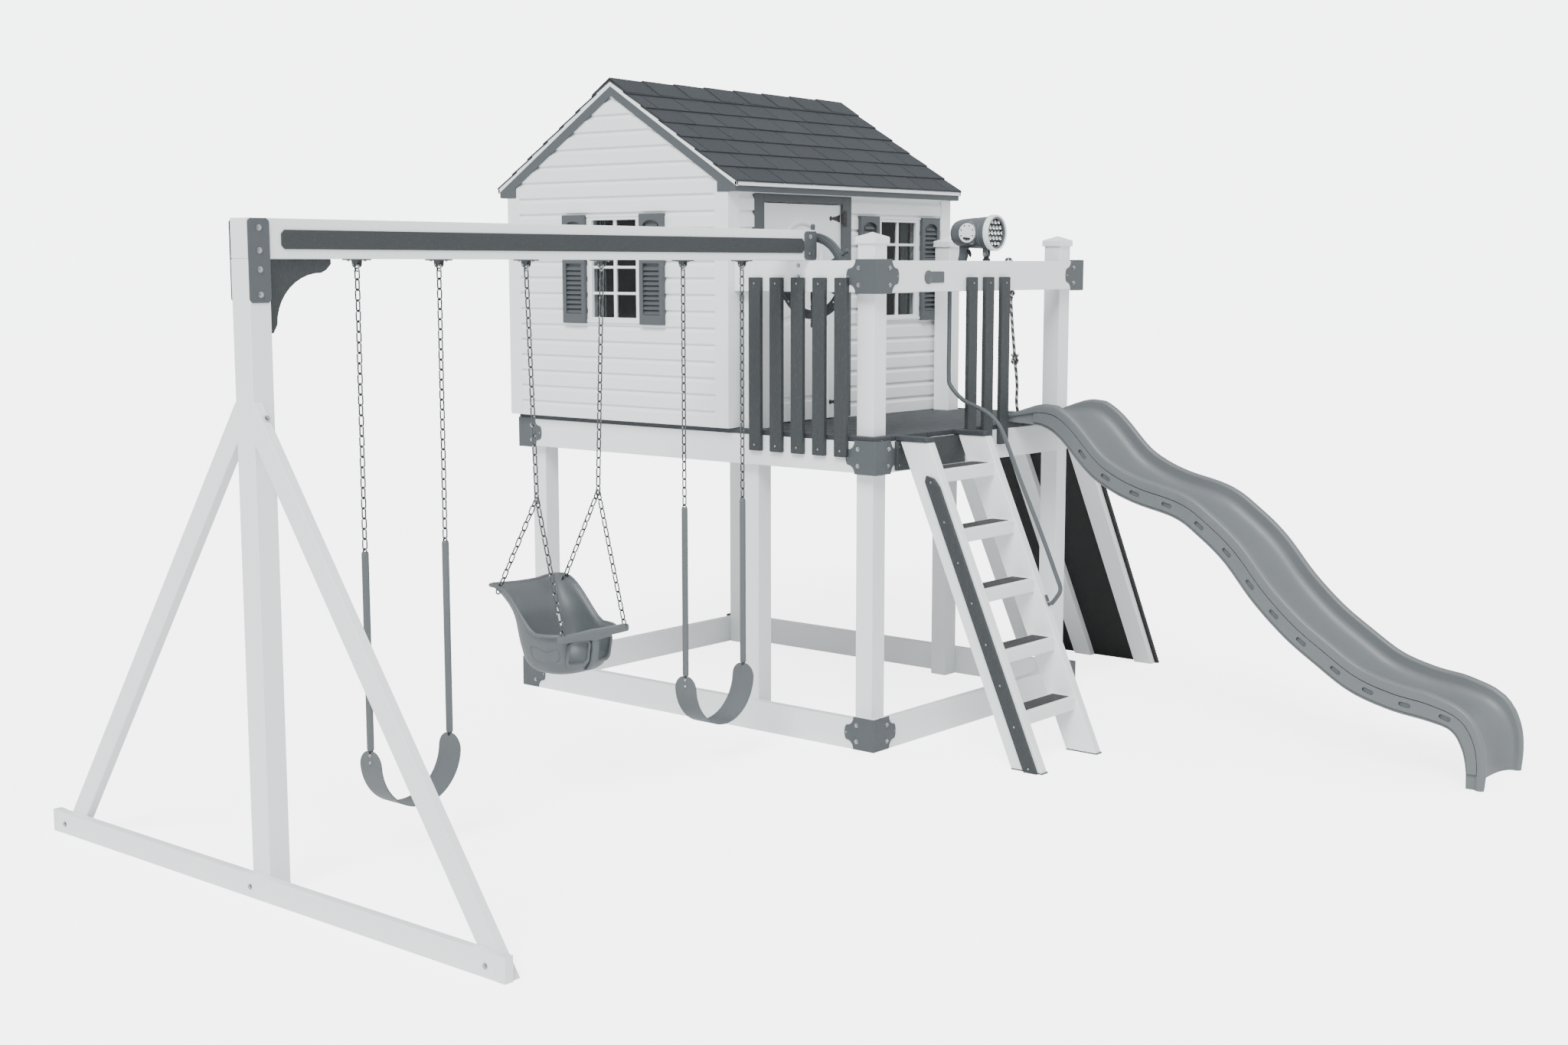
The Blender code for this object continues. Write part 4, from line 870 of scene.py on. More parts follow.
def makeShingleTree():
    tree, entry, leave = growthTree("shingleRows", [
        ("Rows", "NodeSocketInt", 7), ("Tabs", "NodeSocketInt", 9), ("Exposure", "NodeSocketFloat", 0.147),
        ("Tab Width", "NodeSocketFloat", 0.24), ("Thickness", "NodeSocketFloat", 0.005),
        ("Tilt", "NodeSocketFloat", 0.03), ("Stagger", "NodeSocketFloat", 0.37), ("Seed", "NodeSocketInt", 3)])
    take = entry.outputs
    reckon = functools.partial(reckonNode, tree)

    spanX = reckon("MULTIPLY", reckon("SUBTRACT", take["Tabs"], 1.0), take["Tab Width"])
    spanY = reckon("MULTIPLY", reckon("SUBTRACT", take["Rows"], 1.0), take["Exposure"])
    grid = joinNode(tree, "GeometryNodeMeshGrid", Size_X=spanX, Size_Y=spanY, Vertices_X=take["Tabs"],
                    Vertices_Y=take["Rows"])
    place = tree.nodes.new("GeometryNodeInputPosition")
    split = joinNode(tree, "ShaderNodeSeparateXYZ", Vector=place.outputs[0])
    lift = reckon("ADD", split.outputs["Y"], reckon("MULTIPLY", spanY, 0.5))
    row = reckon("ROUND", reckon("DIVIDE", lift, take["Exposure"]), 0.0)
    slip = reckon("MULTIPLY", reckon("FRACT", reckon("MULTIPLY", row, take["Stagger"]), 0.0), take["Tab Width"])
    shift = joinNode(tree, "ShaderNodeCombineXYZ", X=slip, Y=reckon("MULTIPLY", spanY, 0.5))
    moved = joinNode(tree, "GeometryNodeSetPosition", Geometry=grid.outputs["Mesh"], Offset=shift.outputs[0])
    size = joinNode(tree, "ShaderNodeCombineXYZ", X=reckon("SUBTRACT", take["Tab Width"], 0.0080),
                    Y=reckon("MULTIPLY", take["Exposure"], 1.28), Z=take["Thickness"])
    tab = joinNode(tree, "GeometryNodeMeshCube", Size=size.outputs[0])
    hang = joinNode(tree, "ShaderNodeCombineXYZ", Y=reckon("MULTIPLY", take["Exposure"], 0.64),
                    Z=take["Thickness"])
    tilt = joinNode(tree, "ShaderNodeCombineXYZ", X=reckon("MULTIPLY", take["Tilt"], -1.0))
    laid = joinNode(tree, "GeometryNodeTransform", Geometry=tab.outputs["Mesh"],
                    Translation=hang.outputs[0], Rotation=tilt.outputs[0])
    vary = tree.nodes.new("FunctionNodeRandomValue")
    vary.data_type = "FLOAT_VECTOR"
    vary.inputs[0].default_value = (1.0, 0.985, 0.96)
    vary.inputs[1].default_value = (1.0, 1.0, 1.04)
    tree.links.new(take["Seed"], vary.inputs["Seed"])
    tabs = joinNode(tree, "GeometryNodeInstanceOnPoints", Points=moved.outputs[0], Instance=laid.outputs[0],
                    Scale=vary.outputs[0])
    tone = tree.nodes.new("FunctionNodeRandomValue")
    tree.links.new(take["Seed"], tone.inputs["Seed"])
    toned = joinNode(tree, "GeometryNodeStoreNamedAttribute", Geometry=tabs.outputs[0], Name="tabTone",
                     Value=tone.outputs[1])
    toned.domain = "INSTANCE"
    finishTree(tree, entry, leave, toned.outputs[0])
    return tree


def makeRoof():
    look = shingleLook
    rows, tabs = look["rows"], look["tabs"]
    angle = math.atan(roofSlope)
    exposure = (eaveReach / math.cos(angle) - 0.004) / rows
    tree = makeShingleTree()
    field = bmesh.new()
    for side in (-1, 1):
        mesh = bpy.data.meshes.new("seed")
        mesh.from_pydata([(0, 0, 0)], [], [])
        solid = growMesh(tree, mesh, "shingleGrit", {
            "Rows": rows, "Tabs": tabs, "Exposure": exposure, "Tab Width": look["tabWidth"],
            "Thickness": look["thick"], "Tilt": look["tilt"], "Stagger": look["stagger"], "Seed": 3 + side})
        turn = Matrix.Rotation(math.pi if side > 0 else 0, 4, "Z") @ Matrix.Rotation(angle, 4, "X")
        eave = Vector(((roofLow.x + roofHigh.x) / 2, roofMiddle + side * eaveReach,
                       roofHigh.z - look["bed"] - roofSlope * eaveReach))
        solid.transform(Matrix.Translation(eave) @ turn)
        slope = bmesh.new()
        slope.from_mesh(solid)
        cutAway(slope, (0, roofMiddle, 0), (0, -side, 0))
        slope.to_mesh(solid)
        slope.free()
        field.from_mesh(solid)
    for x, out in ((roofLow.x, -1), (roofHigh.x, 1)):
        cutAway(field, (x, 0, 0), (out, 0, 0))
    for y, out in ((roofLow.y, -1), (roofHigh.y, 1)):
        cutAway(field, (0, y, 0), (0, out, 0))
    mesh = bpy.data.meshes.new("shingles")
    bmesh.ops.translate(field, verts=field.verts, vec=home)
    field.to_mesh(mesh)
    field.free()
    mountPiece("shingles", mesh, "shingleGrit", smooth=0)
    caps = bmesh.new()
    count, leg, thick = look["caps"], look["capLeg"], look["capThick"]
    step = (roofHigh.x - roofLow.x) / count
    for index in range(count):
        start = roofLow.x + index * step
        end = min(start + step * 1.03, roofHigh.x)
        near = roofHigh.z - 0.0004
        fall = leg * roofSlope
        lower = [(roofMiddle - leg, near - fall), (roofMiddle, near), (roofMiddle + leg, near - fall),
                 (roofMiddle + leg, near - thick - fall), (roofMiddle, near - thick),
                 (roofMiddle - leg, near - thick - fall)]
        ring = [caps.verts.new((start, a, b)) for a, b in lower]
        back = [caps.verts.new((end, a, b - thick * 0.75)) for a, b in lower]
        faces = [caps.faces.new(ring), caps.faces.new(back[::-1])]
        for i in range(6):
            j = (i + 1) % 6
            faces.append(caps.faces.new((ring[j], ring[i], back[i], back[j])))
        bmesh.ops.recalc_face_normals(caps, faces=faces)
    tones = caps.verts.layers.float.new("tabTone")
    for index, vert in enumerate(caps.verts):
        vert[tones] = (index // 12 * 0.37) % 1
    makePiece("ridge_caps", caps, "shingleGrit", smooth=0)

    board = bmesh.new()
    low, high = roofMiddle - eaveReach + 0.012, roofMiddle + eaveReach - 0.012
    outline = [(low, roofLine(low, 0.034)), (roofMiddle, roofLine(roofMiddle, 0.034)),
               (high, roofLine(high, 0.034)), (high, roofLine(high, 0.0175)),
               (roofMiddle, roofLine(roofMiddle, 0.0175)), (low, roofLine(low, 0.0175))]
    addPrism(board, outline, "X", roofLow.x + 0.012, roofHigh.x - 0.012)
    makePiece("roof_sheathing", board, "sidingVinyl", replacing=("roof",), smooth=0)
    edge = bmesh.new()
    reach, drop = eaveReach - 0.003, 0.0165
    foot = roofLine(low - 0.009, 0.0)
    outline = [(roofMiddle - reach, foot - 0.040), (roofMiddle, roofHigh.z - 0.045),
               (roofMiddle + reach, foot - 0.040), (roofMiddle + reach, foot - drop),
               (roofMiddle, roofHigh.z - drop), (roofMiddle - reach, foot - drop)]
    for x in (roofLow.x + 0.002, roofHigh.x - 0.014):
        addPrism(edge, outline, "X", x, x + 0.012)
    for side in (-1, 1):
        outer = roofMiddle + side * reach
        inner = outer - side * 0.013
        top = roofLine(outer, drop)
        addPrism(edge, [(outer, top), (outer, top - 0.019), (inner, top - 0.019), (inner, top + 0.004)], "X",
                 roofLow.x + 0.002, roofHigh.x - 0.002)
    makePiece("drip_edge", edge, "whiteVinyl", roundBy=0.001, smooth=0)


def makeRoofTrim():
    low, high = layoutBox("roof_trim")
    form = bmesh.new()
    bottom, returns = low.z, 0.122
    for x in (low.x, high.x - 0.020):
        half = []
        for side, edge in ((-1, low.y), (1, high.y)):
            inner = edge - side * returns
            half.append([(edge, roofLine(edge, 0.0175 + 0.0125)), (edge, bottom), (inner, bottom),
                         (inner, roofLine(inner, 0.095))])
        peak = roofHigh.z - 0.045
        outline = half[0] + [(roofMiddle, peak - 0.050)] + half[1][::-1] + [(roofMiddle, peak)]
        addPrism(form, outline, "X", x, x + 0.020)
    for edge, inward in ((low.y, 1), (high.y, -1)):
        a, b = sorted((edge, edge + inward * 0.020))
        addBox(form, (low.x + 0.001, a - 0.0004 * inward, bottom), (high.x - 0.001, b, roofLine(edge, 0.032)))
    makePiece("roof_trim_boards", form, "slatePaint", replacing=("roof_trim",), roundBy=0.0012, smooth=0)


def turnToGable(form, plane, middle):
    # a unit built facing the porch is turned to face the swings
    bmesh.ops.transform(form, verts=form.verts, matrix=Matrix.Translation((plane, middle, 0))
                        @ Matrix.Rotation(-math.pi / 2, 4, "Z"))


def placeUnit(form, wall, middle):
    if wall == "gable":
        turnToGable(form, wallLow.x, middle)
    else:
        bmesh.ops.translate(form, verts=form.verts, vec=(middle, wallLow.y, 0))


def makeWindow(wall):
    look = windowLook
    half, low, high, bar = look["half"], look["low"], look["high"], look["bar"]
    middle = look[wall]
    form = bmesh.new()
    addBox(form, (-half, -0.016, low), (-half + bar, 0.030, high))
    addBox(form, (half - bar, -0.016, low), (half, 0.030, high))
    addBox(form, (-half + bar, -0.016, high - bar * 0.75), (half - bar, 0.030, high))
    addBox(form, (-half + bar, -0.016, low), (half - bar, 0.030, low + bar * 0.75))
    addBox(form, (-half - 0.004, -0.020, low - 0.004), (half + 0.004, -0.012, low + 0.012))
    addBox(form, (-half - 0.004, -0.020, high - 0.008), (half + 0.004, -0.012, high + 0.004))
    addBox(form, (-0.010, -0.0055, low + bar * 0.7), (0.010, 0.012, high - bar * 0.7))
    for z in look["cross"]:
        addBox(form, (-half + bar, -0.0045, z - look["muntin"] / 2), (half - bar, 0.011, z + look["muntin"] / 2))
    placeUnit(form, wall, middle)
    makePiece(f"{wall}_window_frame", form, "whitePlastic", replacing=(f"{wall}_window",), roundBy=0.0018)
    glass = bmesh.new()
    addBox(glass, (-half + bar - 0.004, 0.002, low + 0.02), (half - bar + 0.004, 0.005, high - 0.02))
    placeUnit(glass, wall, middle)
    makePiece(f"{wall}_window_glass", glass, "windowGlass", smooth=0)
    # gathered curtains: flat width is the length of the wave
    for side, start, end in (("near", -half + 0.020, -0.124), ("far", 0.118, half - 0.020)):
        form = bmesh.new()
        count, depth = 60, 0.010
        top, foot = high + 0.03, low - 0.02
        along = [start + (end - start) * i / count for i in range(count + 1)]
        wave = [0.060 + depth * math.sin(2 * math.pi * 3 * i / count) for i in range(count + 1)]
        rows = []
        for level in range(9):
            z = top + (foot - top) * level / 8
            rows.append([form.verts.new((x, w + 0.002 * math.sin(level + i * 0.21), z))
                         for i, (x, w) in enumerate(zip(along, wave))])
        for a, b in zip(rows, rows[1:]):
            for i in range(count):
                form.faces.new((a[i], b[i], b[i + 1], a[i + 1]))
        placeUnit(form, wall, middle)
        curtain = makePiece(f"{wall}_curtain_{side}", form, "curtainCloth", smooth=180)


def makeSlatTree():
    tree, entry, leave = growthTree("louvreSlats", [
        ("Count", "NodeSocketInt", 8), ("Pitch", "NodeSocketFloat", 0.0165), ("Width", "NodeSocketFloat", 0.1),
        ("Blade", "NodeSocketFloat", 0.017), ("Thickness", "NodeSocketFloat", 0.004),
        ("Slant", "NodeSocketFloat", 0.75), ("Arch Rise", "NodeSocketFloat", 0.0)])
    take = entry.outputs
    reckon = functools.partial(reckonNode, tree)

    step = joinNode(tree, "ShaderNodeCombineXYZ", Z=take["Pitch"])
    line = joinNode(tree, "GeometryNodeMeshLine", Count=take["Count"], Offset=step.outputs[0])
    size = joinNode(tree, "ShaderNodeCombineXYZ", X=take["Width"], Y=take["Blade"], Z=take["Thickness"])
    blade = joinNode(tree, "GeometryNodeMeshCube", Size=size.outputs[0])
    slant = joinNode(tree, "ShaderNodeCombineXYZ", X=take["Slant"])
    turned = joinNode(tree, "GeometryNodeTransform", Geometry=blade.outputs["Mesh"], Rotation=slant.outputs[0])
    # slats inside the arch get shorter towards its crown
    place = tree.nodes.new("GeometryNodeInputPosition")
    split = joinNode(tree, "ShaderNodeSeparateXYZ", Vector=place.outputs[0])
    top = reckon("MULTIPLY", reckon("SUBTRACT", take["Count"], 1.0), take["Pitch"])
    above = reckon("MAXIMUM", reckon("SUBTRACT", split.outputs["Z"], reckon("SUBTRACT", top, take["Arch Rise"])), 0.0)
    share = reckon("DIVIDE", above, reckon("ADD", reckon("MAXIMUM", take["Arch Rise"], 0.0001), 0.012))
    narrow = reckon("SQRT", reckon("MAXIMUM", reckon("SUBTRACT", 1.0, reckon("MULTIPLY", share, share)), 0.04), 0.0)
    scale = joinNode(tree, "ShaderNodeCombineXYZ", X=narrow, Y=1.0, Z=1.0)
    slats = joinNode(tree, "GeometryNodeInstanceOnPoints", Points=line.outputs[0], Instance=turned.outputs[0],
                     Scale=scale.outputs[0])
    finishTree(tree, entry, leave, slats.outputs[0])
    return tree


def makeShutters():
    tree = makeSlatTree()
    names = {"gable_shutter_front": "gable", "gable_shutter_rear": "gable",
             "porch_shutter_left": "porch", "porch_shutter_right": "porch"}
    for node, wall in names.items():
        low, high = layoutBox(node)
        half = (high.y - low.y) / 2 if wall == "gable" else (high.x - low.x) / 2
        middle = (low + high) / 2
        centre = middle.y if wall == "gable" else middle.x
        inner = half - 0.026
        form = bmesh.new()
        addBox(form, (-half, -0.0335, low.z), (half, -0.0085, high.z))
        holes = bmesh.new()
        lowerTop, upperFoot = low.z + 0.318, low.z + 0.350
        rise = 0.030
        lowPanel = [(-inner, low.z + 0.052), (inner, low.z + 0.052), (inner, lowerTop), (-inner, lowerTop)]
        arch = [(inner * math.cos(a), high.z - 0.034 - rise + rise * math.sin(a))
                for a in (math.pi * i / 12 for i in range(13))]
        upPanel = [(-inner, upperFoot), (inner, upperFoot), *arch]
        addPrism(holes, lowPanel, "Y", -0.05, -0.0160)
        addPrism(holes, upPanel, "Y", -0.05, -0.0160)
        form = carved(form, holes)
        for zed, count, archRise in ((low.z + 0.064, 10, 0.0), (upperFoot + 0.013, 7, rise)):
            mesh = bpy.data.meshes.new("seed")
            mesh.from_pydata([(0, 0, 0)], [], [])
            span = (lowerTop if not archRise else high.z - 0.036) - zed
            solid = growMesh(tree, mesh, "slatePaint", {
                "Count": count, "Pitch": span / count, "Width": 2 * inner + 0.001, "Blade": 0.0240,
                "Thickness": 0.0030, "Slant": 1.02, "Arch Rise": archRise})
            solid.transform(Matrix.Translation((0, -0.0235, zed)))
            form.from_mesh(solid)
        placeUnit(form, wall, centre)
        makePiece(f"{node}_louvred", form, "slatePaint", replacing=(node,), roundBy=0.0010)


def makeDoor():
    look = doorLook
    low, high = layoutBox("door")
    face = high.y - 0.035
    leaf = bmesh.new()
    addBox(leaf, (low.x, face, low.z), (high.x, high.y, high.z))
    centreX, centreZ = look["porthole"]
    sink = bmesh.new()
    inner = [(low.x + 0.10, low.z + 0.10), (high.x - 0.10, low.z + 0.10), (high.x - 0.10, low.z + 0.50)]
    brow = [(centreX + (high.x - low.x - 0.20) / 2 * math.cos(a), low.z + 0.50 + 0.06 * math.sin(a))
            for a in (math.pi * i / 14 for i in range(1, 14))]
    outline = inner + brow + [(low.x + 0.10, low.z + 0.50)]
    addPrism(sink, outline, "Y", face - 0.05, face + 0.006)
    leaf = carved(leaf, sink)
    field = [(centreX + (a - centreX) * 0.86, low.z + 0.30 + (b - low.z - 0.30) * 0.86) for a, b in outline]
    addPrism(leaf, field, "Y", face + 0.0005, face + 0.007)
    makePiece("door_leaf", leaf, "doorSkin", "door", replacing=("door",), roundBy=0.0025, segments=3)
    ring = bmesh.new()
    radius = look["radius"]
    addTurned(ring, [(radius - 0.030, 0.004), (radius - 0.026, -0.004), (radius - 0.012, -0.008),
                     (radius - 0.003, -0.006), (radius, 0.004)], (centreX, face, centreZ), yAxis, 64)
    dome = [(0.0, -0.0070), (0.05, -0.0066), (0.09, -0.0054), (0.12, -0.0032), (radius - 0.030, 0.001)]
    addTurned(ring, dome + [(radius - 0.030, 0.006), (0, 0.006)], (centreX, face, centreZ), yAxis, 64)
    makePiece("door_porthole", ring, "doorSkin", "door", smooth=50)
    frameForm = bmesh.new()
    plane = wallLow.y
    proud = 0.0145
    bottom = look["bottom"]
    near, back, brow = plane - proud, plane - 0.0005, look["frameTop"] - 0.002
    addBox(frameForm, (look["frameLeft"], near, bottom), (look["left"], back, brow))
    addBox(frameForm, (look["right"], near, bottom), (look["frameRight"], back, brow))
    addBox(frameForm, (look["left"] + 0.0005, near, look["top"]), (look["right"] - 0.0005, back, brow))
    makePiece("door_frame", frameForm, "slatePaint", roundBy=0.0015)
    straps, plates = bmesh.new(), bmesh.new()
    for z in (2.619, 1.640):
        strap = [(0.880, z - 0.020), (0.880, z + 0.020), (0.850, z + 0.012), (0.815, z + 0.006), (0.806, z + 0.013),
                 (0.797, z + 0.011), (0.792, z), (0.797, z - 0.011), (0.806, z - 0.013), (0.815, z - 0.006),
                 (0.850, z - 0.012)]
        addPrism(straps, strap, "Y", face - 0.0032, face - 0.0002)
        addBox(plates, (0.897, near - 0.003, z - 0.042), (0.925, near - 0.0002, z + 0.042))
        addRod(plates, (0.8885, near + 0.001, z - 0.030), (0.8885, near + 0.001, z + 0.030), 0.0058, 14)
        for spot in (0.862, 0.838, 0.806):
            fasten("screw", (spot, face - 0.0030, z), (0, -1, 0), "door", "blackPlastic")
        for lift in (-0.028, 0.0, 0.028):
            fasten("screw", (0.912, near - 0.0028, z + lift), (0, -1, 0), "playset", "blackPlastic")
    makePiece("door_hinge_straps", straps, "blackPlastic", "door", roundBy=0.0008)
    makePiece("door_hinge_plates", plates, "blackPlastic", roundBy=0.0008)


makeSiding()
makeRoof()
makeRoofTrim()
makeWindow("gable")
makeWindow("porch")
makeShutters()
makeDoor()
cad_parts["house_walls"].data.materials[0] = finishes["sidingVinyl"][0]
print("cabin made")

ladderLook = {"run": 0.4375, "depth": 0.170, "riser": 0.0223, "stripNear": 0.076, "stripFar": 0.152,
              "stripThick": 0.0165, "stripTop": 1.367, "gripInset": 0.026, "gripThick": 0.0020, "capHeight": 0.007}


def ladderBack(z):
    return -ladderLook["riser"] - (deckHeight - z) * ladderLook["run"]


def makeLadder():
    look = ladderLook
    for side in ("left", "right"):
        softenNode(f"ladder_stringer_{side}", "whiteVinyl", 0.004, 3)
    leftLow = layoutBox("ladder_stringer_left")[0]
    grips = bmesh.new()
    for index in range(1, 6):
        softenNode(f"ladder_tread_{index}", "whiteVinyl", 0.004, 3)
        low, high = layoutBox(f"ladder_tread_{index}")
        addBox(grips, (low.x + 0.012, low.y + look["gripInset"], high.z + 0.0002),
               (high.x - 0.012, high.y - 0.012, high.z + look["gripThick"]))
    makePiece("ladder_grip_strips", grips, "gripStrip", roundBy=0.0008)
    strip = bmesh.new()
    top, near, far = look["stripTop"], look["stripNear"], look["stripFar"]
    outline = [(ladderBack(0) - near, 0.0), (ladderBack(top - 0.03) - near, top - 0.03),
               (ladderBack(top) - near - 0.020, top), (ladderBack(top - 0.012) - far + 0.016, top - 0.012),
               (ladderBack(top - 0.050) - far, top - 0.050), (ladderBack(0) - far, 0.0)]
    addPrism(strip, outline, "X", leftLow.x - look["stripThick"], leftLow.x - 0.0003)
    makePiece("ladder_side_strip", strip, "uprightBoard", roundBy=0.003, segments=3)
    for z in (1.337, 1.151, 0.962, 0.775, 0.585, 0.398, 0.210, 0.021):
        fasten("screw", (leftLow.x - look["stripThick"], ladderBack(z) - (near + far) / 2, z), (-1, 0, 0))
    feet = bmesh.new()
    for side in ("left", "right"):
        low, high = layoutBox(f"ladder_stringer_{side}")
        back = ladderBack(0)
        addBox(feet, (low.x - 0.0008, back - look["depth"] - 0.003, 0.0),
               (high.x + 0.0008, back + 0.001, look["capHeight"]))
    makePiece("ladder_feet", feet, "steelTube", roundBy=0.001)
    riser = bmesh.new()
    low, high = leftLow.x - 0.018, layoutBox("ladder_stringer_right")[1].x + 0.018
    addBox(riser, (low, -0.0215, 1.380), (high, -0.0004, deckHeight - 0.001))
    makePiece("ladder_hanger_board", riser, "levelBoard", roundBy=0.003, segments=3)
    for z in (1.405, 1.495):
        for x in (low + 0.013, high - 0.013):
            fasten("screw", (x, -0.0215, z), (0, -1, 0))


def makeHandrailEnds():
    low, high = layoutBox("handrail")
    middle = (low.x + high.x) / 2
    form = bmesh.new()
    front = ladderBack(low.z + 0.02) - ladderLook["depth"]
    lean = Matrix.Translation((middle, front - 0.004, low.z + 0.022)) @ Matrix.Rotation(-0.41, 4, "X")
    bmesh.ops.create_cube(form, size=1, matrix=lean @ Matrix.Diagonal((0.024, 0.004, 0.058, 1)))
    addBox(form, (middle - 0.012, 0.0505, high.z - 0.045), (middle + 0.012, 0.0545, high.z + 0.002))
    makePiece("handrail_tabs", form, "steelTube", roundBy=0.0015)
    fasten("stud", (middle, front - 0.009, low.z + 0.014), (0, -0.92, 0.40))
    fasten("stud", (middle, 0.0545, high.z - 0.008), (0, 1, 0))
    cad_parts["handrail"].data.materials[0] = finishes["steelTube"][0]


slideLook = {"bed": [(0.035, 1.557), (-0.10, 1.557), (-0.20, 1.545), (-0.30, 1.487), (-0.465, 1.324),
                     (-0.60, 1.242), (-0.747, 1.187), (-0.968, 1.132), (-1.102, 1.051), (-1.246, 0.934),
                     (-1.401, 0.757), (-1.566, 0.606), (-1.727, 0.494), (-1.909, 0.384), (-2.103, 0.325),
                     (-2.29, 0.298), (-2.40, 0.268), (-2.455, 0.195), (-2.477, 0.100), (-2.480, 0.0)],
             "rim": 0.125, "footRim": 0.080, "wall": 0.006, "stations": 132, "slotLength": 0.058,
             "slotHeight": 0.022, "slotCount": 13, "slotRise": 0.29, "firstSlot": 0.50, "lastSlot": 0.34,
             "band": 0.014, "bandFace": 0.008, "bandStart": 0.16, "bandEnd": 0.06}


def slideSection(rim, skirt, width):
    wall, band = slideLook["wall"], slideLook["band"]
    roll = min(0.018, rim * 0.22)
    sink = band * min(1.0, rim / slideLook["footRim"])
    arc = []
    for step in range(9):
        a = math.pi * (1 - step / 8)
        arc.append((wall + roll * 1.05 * (1 + math.cos(a)), rim - roll + roll * math.sin(a)))
    channel = [(0.043, rim * 0.62), (0.048, rim * 0.49), (0.058, rim * 0.35), (0.074, rim * 0.235),
               (0.097, rim * 0.14), (0.127, rim * 0.07), (0.165, rim * 0.025), (0.215, rim * 0.005),
               (width / 2 - 0.02, 0.0)]
    side = [(wall + sink * 0.7, -skirt), (wall + sink, rim * 0.06), (wall + sink, rim * 0.50),
            (wall + sink * 0.9, rim * 0.55), (wall + 0.001, rim * 0.58), (wall, rim * 0.63)]
    return side + arc + channel


def makeSlide():
    look = slideLook
    low, high = layoutBox("slide")
    width = high.x - low.x
    bed = smoothPath([(0, y, z) for y, z in look["bed"]], 6)
    reach = [0.0]
    for a, b in zip(bed, bed[1:]):
        reach.append(reach[-1] + (b - a).length)
    form = bmesh.new()
    rows, marks = [], []
    for index in range(look["stations"] + 1):
        want = reach[-1] * index / look["stations"]
        at = max(1, next(i for i, far in enumerate(reach) if far >= want - 1e-9))
        t = (want - reach[at - 1]) / (reach[at] - reach[at - 1])
        place, along = bed[at - 1].lerp(bed[at], t), (bed[at] - bed[at - 1]).normalized()
        up = Vector((0, along.z, -along.y))
        left = reach[-1] - want
        rim = look["rim"] * (0.24 + 0.76 * min(1.0, want / 0.26))
        if want > 1:
            rim = look["footRim"] + (rim - look["footRim"]) * min(1.0, left / 0.45)
        skirt = min(0.012, rim * 0.1) * min(1.0, left / 0.2)
        if left < 1e-6:
            up, skirt = Vector((0, -1, 0)), 0.0
        section = slideSection(rim, skirt, width)
        full = section + [(width - u, v) for u, v in section[::-1]]
        rows.append([form.verts.new(place + Vector((low.x + u, 0, 0)) + up * v) for u, v in full])
        marks.append((place, along, up, rim, want))
    for a, b in zip(rows, rows[1:]):
        for i in range(len(a) - 1):
            form.faces.new((a[i], b[i], b[i + 1], a[i + 1]))
    bmesh.ops.recalc_face_normals(form, faces=form.faces)
    if sum(face.normal.z for face in form.faces) < 0:
        bmesh.ops.reverse_faces(form, faces=form.faces)
    form = thickened(form, look["wall"], -1)
    for vert in form.verts:        # the rolled foot stays inside the moulding's own length
        vert.co.y, vert.co.z = max(vert.co.y, low.y + 0.0005), max(vert.co.z, low.z + 0.0001)
    makePiece("slide_channel", form, "slidePlastic", replacing=("slide",), smooth=45)
    # a side band with obround pockets, over the sunk lower wall
    slots = bmesh.new()
    first, last = look["firstSlot"], reach[-1] - look["lastSlot"]
    half, round = (look["slotLength"] - look["slotHeight"]) / 2, look["slotHeight"] / 2
    for index in range(look["slotCount"]):
        want = first + (last - first) * index / (look["slotCount"] - 1)
        place, along, up, rim, far = min(marks, key=lambda mark: abs(mark[4] - want))
        centre = place + up * rim * look["slotRise"]
        outline = []
        for turn, offset in ((-90, half), (90, -half)):
            for step in range(7):
                a = math.radians(turn + step * 30)
                spot = centre + along * (offset + round * math.cos(a)) + up * round * math.sin(a)
                outline.append((spot.y, spot.z))
        addPrism(slots, outline, "X", low.x - 0.05, high.x + 0.05)
    bands = bmesh.new()
    run = [mark for mark in marks if look["bandStart"] < mark[4] < reach[-1] - look["bandEnd"]]
    edge = [place + up * rim * 0.035 for place, along, up, rim, want in run]
    edge += [place + up * rim * 0.545 for place, along, up, rim, want in run[::-1]]
    outline = [(spot.y, spot.z) for spot in edge]
    for face, side in ((low.x, 1), (high.x, -1)):
        near, deep = face + side * look["bandFace"], face + side * (look["band"] + 0.001)
        addPrism(bands, outline, "X", min(near, deep), max(near, deep))
    makePiece("slide_side_bands", carved(bands, slots), "slidePlastic", smooth=30, roundBy=0.0010)
    for x in (low.x + 0.10, high.x - 0.10):
        fasten("bolt", (x, -0.018, 1.5575), (0, 0, 1))


rockLook = {"lean": 0.600, "drop": 0.014, "ribThick": 0.040, "ribWidth": 0.117, "inset": 0.016, "panel": 0.022,
            "gap": 0.0003, "holdRows": 6, "holdColumns": 3}


